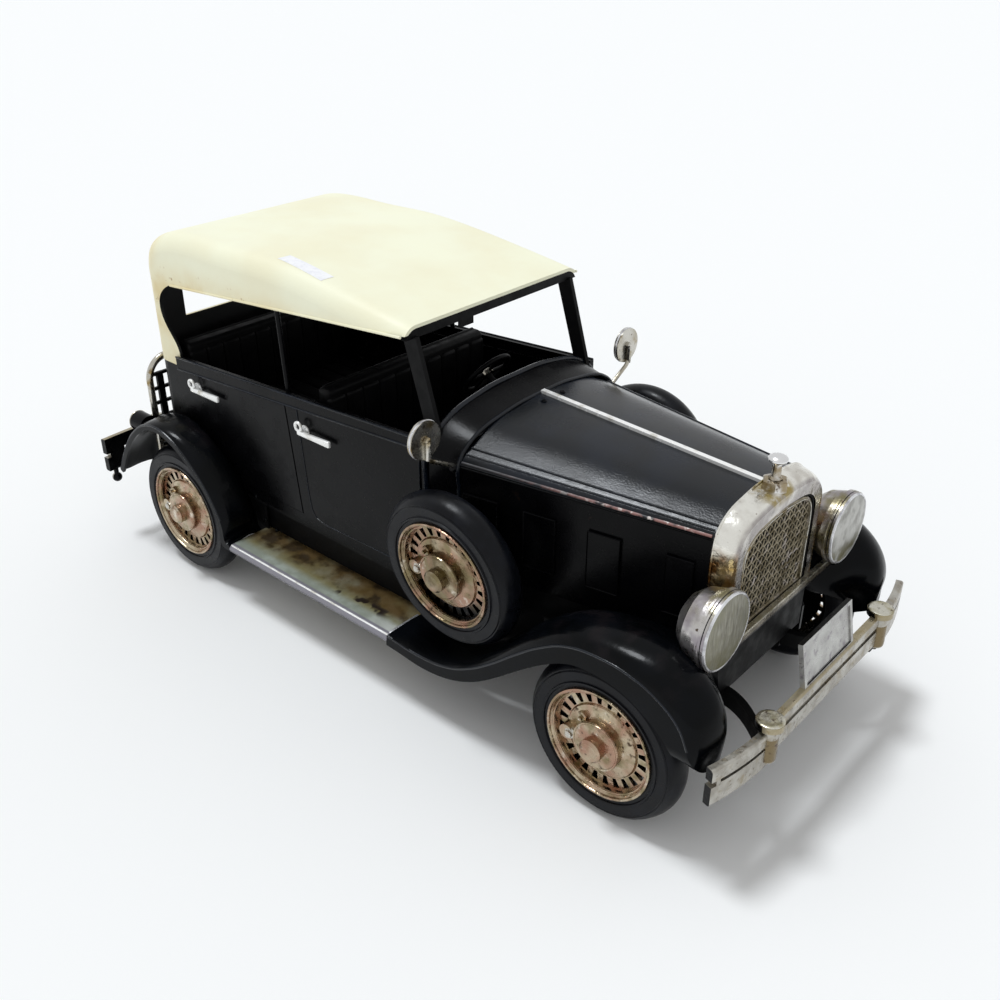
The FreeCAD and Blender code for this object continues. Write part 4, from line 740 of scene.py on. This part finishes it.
# Hood: creases along its shoulders, the rubbed seam and an edge under them, beads round both ends of the
# cowl, the outlines of four panels on each side, and screws beside the hinge
def hood_beads():
    for name, share_y, rise, thick, key in (("hood_crease_upper", 0.878, 0.37, 0.36, "hood"),
                                            ("hood_crease_lower", 0.937, 0.245, 0.34, "hood"),
                                            ("hood_seam", 0.99, 0.07, 0.4, "worn"),
                                            ("hood_side_edge", 1.0, -0.06, 0.28, "black")):
        points = []
        for x in (COWL_FRONT_X + 0.5, 56.0, 80.0, HOOD_FRONT_X - 0.5):
            crown = between(x, COWL_FRONT_X, HOOD_TOP_Z, HOOD_FRONT_X, NOSE_TOP_Z) - SHOULDER_Z
            points.append((x, -hood_y(x) * share_y + 0.05, SHOULDER_Z + crown * rise))
        pair(wire(points, thick), name, key)
    for name, x, half, shoulder_z, crown_z, top_z, thick in (
            ("cowl_front_bead", COWL_FRONT_X - 0.3, COWL_HALF, 76.6, 81.6, HOOD_TOP_Z, 0.55),
            ("cowl_rear_bead", BODY_FRONT_X + 0.5, SIDE_Y, 77.7, 84.3, COWL_TOP_Z, 0.75)):
        side = [(half, shoulder_z - 16.0), (half, shoulder_z - 8.0), (half, shoulder_z), (31.0, crown_z),
                (15.5, crown_z + (top_z - crown_z) * 0.85)]
        settled(wire(mirrored(x, side, top_z), thick), name, "hood")
    low, top = 52.0, 68.8
    for name, start, width in (("first", 1.6, 10.6), ("second", 20.4, 9.4),
                               ("third", 39.3, 9.2), ("fourth", 60.9, 7.3)):
        rear_x = COWL_FRONT_X + start
        front_x = rear_x + width
        corners = [(x, -hood_y(x) - 0.62, z)
                   for x, z in ((rear_x, low), (rear_x, top), (front_x, top), (front_x, low))]
        pair(wire(corners, 0.22, corner=True, closed=True), "panel_edge_" + name, "black")
    screw = turned([(0.8, 0.0), (0.8, 0.3), (0.5, 0.6)], 12)
    pair(put(screw, (COWL_FRONT_X + 4.0, -4.2, 86.3), (0, -0.1, 1)), "hinge_screw", "gloss")


# Body: beads along the belt rail and round the front doors
def body_beads():
    for name, height in (("belt_bead_top", belt_top), ("belt_bead_low", belt_low)):
        points = [(x, -SIDE_Y - 0.8, height(x)) for x in (-95.8, -60.0, -20.0, 21.0)]
        pair(wire(points, 0.36), name, "hood")
    front_x = BELT_FRONT_X - 0.5
    door = [(front_x, belt_low(BELT_FRONT_X) - 0.5), (front_x, FLOOR_Z + 4.5), (POST_X + 12.6, FLOOR_Z + 3.6),
            (POST_X + 8.2, FLOOR_Z + 4.4), (POST_X + 6.2, FLOOR_Z + 6.9), (POST_X + 5.3, FLOOR_Z + 12.6),
            (POST_X + 4.0, FLOOR_Z + 29.6), (POST_X + 3.2, belt_low(POST_X + 2.6) - 0.5)]
    points = [(x, -SIDE_Y - 0.2, z) for x, z in door]
    pair(wire(points, 0.26, corner=True, closed=True), "front_door_bead", "hood")


def fender_point(axle_x, angle, outside):
    """A point on a fender's face: at an angle round the axle, and so far outside the tyre."""
    reach = TYRE_R + outside
    lift = math.radians(angle)
    return axle_x + reach * math.cos(lift), -FENDER_FACE_Y, AXLE_Z + reach * math.sin(lift)


# Fenders: a rolled bead along the crease above each lip, and three rivets where the rear one starts
def fender_beads():
    front = [(17.0, -FENDER_FACE_Y, 21.5), (30.0, -FENDER_FACE_Y, 20.8)]
    front += [fender_point(FRONT_AXLE_X, angle, outside) for angle, outside in (
        (181.2, 28.2), (175.8, 19.3), (165.6, 12.3), (149.4, 7.5), (128.5, 5.4), (109.7, 5.3),
        (89.4, 5.2), (71.2, 6.0), (55.4, 7.0), (40.8, 7.5), (29.0, 6.7))]
    pair(wire(front, 0.42), "front_fender_bead", "hood")
    rear = [fender_point(REAR_AXLE_X, angle, outside) for angle, outside in (
        (172.0, 12.7), (161.3, 10.8), (147.0, 9.5), (132.4, 9.1), (116.6, 8.9), (101.2, 7.5),
        (87.8, 5.2), (74.0, 2.9), (60.0, 1.2), (43.2, 0.5), (27.4, 0.5), (13.9, 1.4))]
    pair(wire(rear, 0.42), "rear_fender_bead", "hood")
    for number, (x, z) in enumerate(((-56.5, 26.5), (-51.0, 24.5), (-60.5, 34.0)), 1):
        rivet = turned([(0.75, 0.0), (0.7, 0.3), (0.4, 0.55)], 12)
        pair(put(rivet, (x, -SIDE_Y, z), TO_THE_RIGHT), "fender_rivet_%d" % number, "gloss")


# Lamps: a thin bright rim round the disc, a black ring as painted shade in the gap, the bowl's flange behind
# it, and a clip under each
def lamp_trim():
    rim = ring([(9.5, 0.2), (9.8, 0.55), (10.2, 0.5), (10.4, 0.1), (10.35, -0.35), (9.9, -0.4),
                (9.9, 0.0), (9.6, 0.0)])
    pair(put(rim, LAMP_AT, FORWARD), "lamp_rim", "scuffed")
    # Painted shade: a black ring in the gap between the rim and the flange
    pair(put(ring(round_section(10.2, -0.75, 0.36, 8)), LAMP_AT, FORWARD), "lamp_gap", "satin")
    pair(put(ring(round_section(10.15, -1.5, 0.42, 8)), LAMP_AT, FORWARD), "lamp_flange", "lamp")
    clip = turned([(0.8, 0.0), (0.8, 1.0), (0.5, 1.3)], 16)
    pair(put(clip, (113.4, LAMP_AT[1], 49.0), FORWARD), "lamp_clip", "lamp")


def arch_side(half, low_z, top_z):
    """One side of the radiator's arched outline, from its foot up to the crown, in width and height."""
    rise = top_z - low_z
    return [(half, low_z), (half, low_z + rise * 0.37), (half, low_z + rise * 0.74),
            (half * 0.955, low_z + rise * 0.84), (half * 0.79, low_z + rise * 0.93),
            (half * 0.43, low_z + rise * 0.982)]


def arch_wire(x, half, low_z, top_z, thick):
    """A wire along the radiator's arched outline."""
    return wire(mirrored(x, arch_side(half, low_z, top_z), top_z), thick)


def inside_arch(y, z, half, low_z, top_z):
    """Whether a point lies within the arched opening."""
    side = arch_side(half, low_z, top_z) + [(0.0, top_z)]
    if z < low_z or z > top_z:
        return False
    for (y0, z0), (y1, z1) in zip(side, side[1:]):
        if z0 <= z <= z1 and z1 > z0:
            return abs(y) <= y0 + (y1 - y0) * (z - z0) / (z1 - z0)
    return False


def woven_mesh():
    """Two sets of slanting wires that pass over and under each other, in a round frame."""
    pitch = 1.8
    wires = range(-13, 14)
    mesh_x = 109.45
    frame_x = 109.5
    foot_z = 48.45
    middle_z = 62.6
    parts = [arch_wire(frame_x, 17.35, foot_z, 76.75, 0.62),
             wire([(frame_x, -17.6, foot_z), (frame_x, 17.6, foot_z)], 0.62, corner=True)]
    for lean in (1, -1):
        for number in wires:
            points = []
            for crossing in wires:
                across = (number * pitch + crossing * pitch * lean) / math.sqrt(2)
                up = (crossing * pitch - number * pitch * lean) / math.sqrt(2)
                if inside_arch(across, middle_z + up, 17.2, 48.6, 76.6):
                    over = (number + crossing) % 2 == (0 if lean == 1 else 1)
                    points.append((mesh_x + (0.14 if over else -0.14), across, middle_z + up))
            if len(points) > 1:
                reach = pitch * 0.45
                points.insert(0, (mesh_x, points[0][1] - reach * lean, points[0][2] - reach))
                points.append((mesh_x, points[-1][1] + reach * lean, points[-1][2] + reach))
                parts.append(wire(points, 0.27, steps=3))
    mesh = settled(joined(parts), "woven_mesh", "mesh")
    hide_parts("radiator_grille")


# Radiator: the woven mesh with a fine edge line and a dark band round it, the shell's rolled rear edge, and a
# filler cap on its hexagon nut
def radiator_trim():
    woven_mesh()
    settled(arch_wire(110.1, 17.1, 48.7, 76.5, 0.22), "mesh_edge_line", "nickel")
    # A dark band round the mesh
    settled(arch_wire(109.9, 18.35, 47.5, 77.7, 0.32), "mesh_gasket", "satin")
    settled(arch_wire(104.25, 22.85, 44.4, 84.0, 0.35), "shell_rear_edge", "shell")
    nut = turned([(3.2, 0.0), (3.4, 0.3), (3.4, 3.0), (3.1, 3.3), (2.0, 3.3), (1.8, 2.5)], 6)
    nut.data.transform(Matrix.Rotation(math.radians(30), 4, "Z"))
    knob = turned([(1.7, 2.3), (1.7, 3.5), (1.25, 4.1), (1.15, 7.2), (1.5, 7.9), (2.2, 8.2), (2.55, 8.6),
                   (2.55, 8.95), (2.2, 9.4), (1.5, 9.7), (0.7, 9.85)], 32)
    cap = joined([nut, knob])
    cap = settled(put(cap, (106.96, 0, 81.9)), "filler_cap", "cap", smooth=30)
    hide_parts("radiator_cap")


def wheel_places():
    """The end, side, body and place of four rolling wheels and two spares, all made flat on the Z axis."""
    face_out = Matrix.Rotation(math.radians(90), 4, "X")
    lean = Matrix.Rotation(math.radians(SPARE_LEAN), 4, "X")
    for end, at, tilt in (("front", (FRONT_AXLE_X, -RIM_FACE_Y, AXLE_Z), Matrix.Identity(4)),
                          ("rear", (REAR_AXLE_X, -RIM_FACE_Y, AXLE_Z), Matrix.Identity(4)),
                          ("spare", SPARE_AT, lean)):
        for side, mirror in (("right", Matrix.Identity(4)), ("left", ACROSS)):
            body = "car" if end == "spare" else "wheel_set_%s_%s" % (end, side)
            yield end, side, body, mirror @ Matrix.Translation(Vector(at) * MM) @ tilt @ face_out


# Wheels: in lacquered gold two rolled rings at the rim, a ring round the hub, a valve nut and the closed back
# plate; in nickel a hub nut and a small knob
def wheel_trim():
    lip = ring(round_section(15.85, 0.15, 0.42, 8))
    step = ring(round_section(14.75, -0.75, 0.28, 8))
    hub = ring(round_section(6.75, 0.95, 0.3, 8), 48)
    nut = turned([(3.05, 2.6), (3.3, 2.9), (2.9, 3.5), (2.1, 3.85), (1.1, 3.98), (1.0, 3.8), (0.3, 3.8)], 32)
    valve = turned([(1.5, -1.8), (1.5, -0.2), (1.2, 0.1), (0.6, 0.1), (0.55, 0.9), (0.3, 1.1)], 6)
    valve.data.transform(Matrix.Translation(Vector((-5.4, 6.0, 0)) * MM))
    knob = turned([(1.9, -0.6), (1.9, 0.3), (1.5, 0.7), (1.2, 0.7), (1.1, 1.3), (0.7, 1.6)], 8)
    knob.data.transform(Matrix.Translation(Vector((-8.6, -0.8, 0)) * MM))
    backing = ring([(2.6, -5.6), (13.3, -5.6), (13.3, -5.0), (2.6, -5.0)], 48)
    gold = joined([lip, step, hub, valve, backing])
    pale = joined([nut, knob])
    for end, side, body, place in wheel_places():
        for what, shape, key in (("rings", gold, "bronze"), ("hub", pale, "nickel")):
            settled(copied(shape, place), "wheel_%s_%s_%s" % (what, end, side), key, body, 35)
    for shape in (gold, pale):
        bpy.data.objects.remove(shape)


# Tyres: fine steps on the sidewalls and a smooth round tread
def tyres():
    section = [(16.2, 0.2), (17.2, 0.1), (17.4, -0.3), (17.9, -0.35), (18.1, 0.05), (20.7, 0.0), (21.0, 0.3),
               (21.3, 0.2), (21.9, 0.65), (22.4, 1.2), (22.8, 1.9), (23.15, 2.7), (23.4, 3.6), (23.5, 4.5),
               (23.4, 5.4), (23.15, 6.3), (22.6, 7.4), (21.7, 8.4), (20.5, 9.0), (17.2, 8.7), (16.2, 8.2)]
    tyre = ring([(radius, -depth) for radius, depth in section], 96)
    for end, side, body, place in wheel_places():
        node = ("spare_tyre_" if end == "spare" else "tyre_" + end + "_") + side
        piece = settled(copied(tyre, place), "moulded_" + node, "rubber", body, 35)
        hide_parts(node)
    bpy.data.objects.remove(tyre)


# Mirrors: a bright rim, the hooked head of the stem over the back of the disc, and its foot on the cowl
def mirror_trim():
    stem_y = -45.2
    rim = ring(round_section(5.25, 0.0, 0.42, 8), 40)
    pair(put(rim, (28.9, stem_y, 87.1), FORWARD), "mirror_rim", "scuffed")
    hook = wire([(30.2, stem_y, 81.6), (30.4, stem_y, 85.2), (30.2, stem_y, 86.8), (29.4, stem_y, 87.3)], 0.8)
    ball = turned([(0.5, -1.0), (0.95, -0.6), (1.05, 0.0), (0.95, 0.6), (0.5, 1.0)], 20)
    pair(joined([hook, put(ball, (29.9, stem_y, 87.2), FORWARD)]), "mirror_hook", "nickel")
    foot = turned([(1.6, 0.0), (1.5, 0.4), (1.1, 0.8), (0.9, 1.2)], 24)
    pair(put(foot, (30.2, -35.3, 75.4), (0, -0.95, 0.3)), "mirror_foot", "gloss")


# Bumpers: slightly domed clamp heads with a ground rim, on round drums
def bumper_trim():
    for end, x in (("front", CLAMP_X), ("rear", -CLAMP_X)):
        head = turned([(3.3, -0.3), (3.55, 0.0), (3.5, 0.3), (3.1, 0.5), (2.6, 0.42), (1.2, 0.5),
                       (0.4, 0.52)], 40)
        pair(put(head, (x, -CLAMP_Y, BAR_TOP + 1.3)), "clamp_head_" + end, "clamp")
        drum = ring([(2.45, 0.2), (2.6, 0.2), (2.65, 0.9), (2.55, 6.9), (2.45, 7.0)], 40)
        pair(put(drum, (x, -CLAMP_Y, 28.2)), "clamp_drum_" + end, "clamp")


# Tail lamps: a nickel rim round a small dark red lens
def tail_lamps():
    rim = ring(round_section(3.3, 0.0, 0.4, 8), 32)
    pair(put(rim, TAIL_LAMP_AT, BACKWARD), "tail_rim", "nickel")
    lens = turned([(3.0, -0.2), (3.0, 0.1), (2.3, 0.5), (1.2, 0.75), (0.3, 0.8)], 32)
    pair(put(lens, TAIL_LAMP_AT, BACKWARD), "tail_lens", "red")


# Splash plates: thin black tin beside the frame, ahead of the rear wheels and along the slanting hood sides
def splash_plates():
    pair(slab((-74.0, -36.4, 19.5), (-58.0, -35.8, 33.3), 0.2), "rear_splash_plate", "satin")
    for name, low, high in (("front_splash_plate", (42.0, -0.3, 36.0), (103.0, 0.3, 47.5)),
                            ("lower_splash_plate", (27.0, -0.3, 20.0), (58.0, 0.3, 37.0))):
        plate = slab(low, high, 0.2)
        for vertex in plate.data.vertices:
            vertex.co.y -= (hood_y(vertex.co.x / MM) - 1.0) * MM
        pair(plate, name, "satin")


# Roof: a rolled bead along each side edge, and a blank paper label laid on the curved tin
def roof_trim():
    points = [(x, -SIDE_Y + 0.1, roof_low(x)) for x in (-94.0, -60.0, -25.0, 13.9)]
    pair(wire(points, 0.42), "roof_side_bead", "cream")
    paper = 0.05 * MM
    clear()
    bpy.ops.mesh.primitive_plane_add(size=1.0, location=Vector((-32.0, -31.0, 125.0)) * MM)
    label = bpy.context.object
    label.scale = (21.0 * MM, 4.5 * MM, 1.0)
    label.rotation_euler = (0.0, 0.0, math.radians(-4.0))
    bpy.ops.object.transform_apply()
    edit_all()
    bpy.ops.mesh.subdivide(number_cuts=11)
    bpy.ops.object.mode_set(mode="OBJECT")
    wrap = label.modifiers.new("laid", "SHRINKWRAP")
    wrap.target = nodes["roof"]
    wrap.wrap_method = "PROJECT"
    wrap.use_project_z = True
    wrap.use_negative_direction = True
    wrap.use_positive_direction = False
    wrap.offset = paper
    thick = label.modifiers.new("paper", "SOLIDIFY")
    thick.thickness = paper
    thick.offset = 1.0
    settled(label, "blank_label", "paper")


# Seats: painted tin pressed in upright pleats, in the space of the plain blocks
def pleated(name, node, back_x, back_t, cushion_l, back_h, cushion_h):
    """A seat whose back starts at back_x and is back_t thick, with a cushion cushion_l long before it."""
    half = 34.5
    pleats = 10
    width = 2 * half / pleats
    face_x = back_x + back_t
    front_x = face_x + cushion_l
    back_z = FLOOR_Z + back_h
    cushion_z = FLOOR_Z + cushion_h
    parts = [slab((back_x, -half, FLOOR_Z), (face_x - 0.7, half, back_z - 0.5), 1.6, 4),
             slab((face_x - 1.0, -half, FLOOR_Z), (front_x - 0.5, half, cushion_z - 0.9), 0.9, 3)]
    for i in range(pleats):
        right_y = -half + i * width + 0.05
        left_y = -half + i * width + width - 0.05
        parts.append(slab((face_x - 3.2, right_y, cushion_z - 2.0), (face_x, left_y, back_z - 3.0), 1.3, 3))
        parts.append(slab((face_x - 0.6, right_y, cushion_z - 3.4), (front_x, left_y, cushion_z), 1.3, 3))
    piping = [(back_x + 1.6, y, back_z - 0.9) for y in (1.5 - half, half - 1.5)]
    parts.append(wire(piping, 0.8, corner=True))
    piece = settled(joined(parts), name, "satin")
    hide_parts(node)


# Cabin: three blank dials on the dash, the boss of the steering wheel and the gear lever
def cabin_trim():
    for number, (y, radius) in enumerate(((0.0, 3.0), (9.0, 2.2), (-9.0, 2.2)), 1):
        at = (21.95, y, 72.6)
        bezel = put(ring(round_section(radius, 0.2, 0.35, 8), 32), at, BACKWARD)
        settled(bezel, "dial_bezel_%d" % number, "nickel")
        face = put(turned([(radius, -0.1), (radius - 0.2, 0.15), (0.3, 0.2)], 28), at, BACKWARD)
        settled(face, "dial_face_%d" % number, "paper")
    column = math.radians(38)
    boss = turned([(2.2, -0.6), (2.2, 0.6), (1.6, 1.1), (0.9, 1.2), (0.8, 1.6), (0.4, 1.8)], 24)
    put(boss, (-3.0, 15.0, 78.1), (-math.cos(column), 0, math.sin(column)))
    settled(boss, "steering_boss", "nickel")
    stick = wire([(6.0, 0.0, 33.6), (4.0, 0.0, 46.0), (1.0, -0.5, 56.0)], 0.6)
    ball = turned([(0.5, -1.2), (1.2, -0.8), (1.4, 0.0), (1.2, 0.8), (0.5, 1.2)], 16)
    settled(joined([stick, put(ball, (0.8, -0.6, 56.8))]), "gear_lever", "nickel")


door_handles()
board_trim()
hood_beads()
body_beads()
fender_beads()
lamp_trim()
radiator_trim()
wheel_trim()
tyres()
mirror_trim()
bumper_trim()
tail_lamps()
splash_plates()
roof_trim()
pleated("pleated_front_seat", "front_seat", -27.5, 6.0, 19.5, 49.6, 22.6)
pleated("pleated_rear_seat", "rear_seat", -100.5, 7.0, 23.0, 45.6, 20.6)
cabin_trim()


# Studio, in metres: a pale floor, a plain soft light from above and the photograph's camera
STUDIO_RADIUS = 4.0
LIGHT_DIRECTION = (0.31, 0.1, -0.945)
CAMERA_AT = (0.21248, -0.22380, 0.21342)
CAMERA_AIM = (0.00912, 0.00745, 0.0393)
LENS_MM = 39.08


def studio():
    clear()
    bpy.ops.mesh.primitive_circle_add(vertices=96, radius=STUDIO_RADIUS, fill_type="NGON",
                                      location=(0, 0, -0.2 * MM))
    floor = bpy.context.object
    floor.name = "studio_floor"
    pale, _ = finish("pale studio floor", Base_Color=colour("F9F9F8"), Roughness=0.9, Specular_IOR_Level=0.1)
    floor.data.materials.append(pale)

    # The air is brighter where it is seen or mirrored than as light on the car
    world = bpy.data.worlds.new("studio air")
    bpy.context.scene.world = world
    world.use_nodes = True
    tree = world.node_tree
    background = tree.nodes["Background"]
    background.inputs["Color"].default_value = colour("FAFBFC")
    ray = add(tree, "ShaderNodeLightPath").outputs
    direct = union(tree, ray["Is Camera Ray"], ray["Is Glossy Ray"], ray["Is Transmission Ray"])
    strength = add(tree, "ShaderNodeMapRange", inputs={"Value": direct, "To Min": 0.6, "To Max": 0.8})
    tree.links.new(strength.outputs[0], background.inputs["Strength"])

    sky = bpy.data.lights.new("broad_overhead_light", "SUN")
    sky.energy = 1.6
    sky.color = (0.92, 0.96, 1.0)
    sky.angle = math.radians(14)
    lamp = bpy.data.objects.new("broad_overhead_light", sky)
    bpy.context.scene.collection.objects.link(lamp)
    lamp.rotation_euler = Vector(LIGHT_DIRECTION).to_track_quat("-Z", "Y").to_euler()


def photograph_camera():
    """The photograph looks down on the front right corner of the car."""
    data = bpy.data.cameras.new("photograph_camera")
    data.sensor_width = 36.0
    data.lens = LENS_MM
    data.clip_start = 0.01
    camera = bpy.data.objects.new("photograph_camera", data)
    bpy.context.scene.collection.objects.link(camera)
    camera.location = CAMERA_AT
    aim = Vector(CAMERA_AIM) - camera.location
    camera.rotation_euler = aim.to_track_quat("-Z", "Y").to_euler()
    bpy.context.scene.camera = camera


studio()
photograph_camera()
bpy.context.scene.view_settings.view_transform = "Standard"
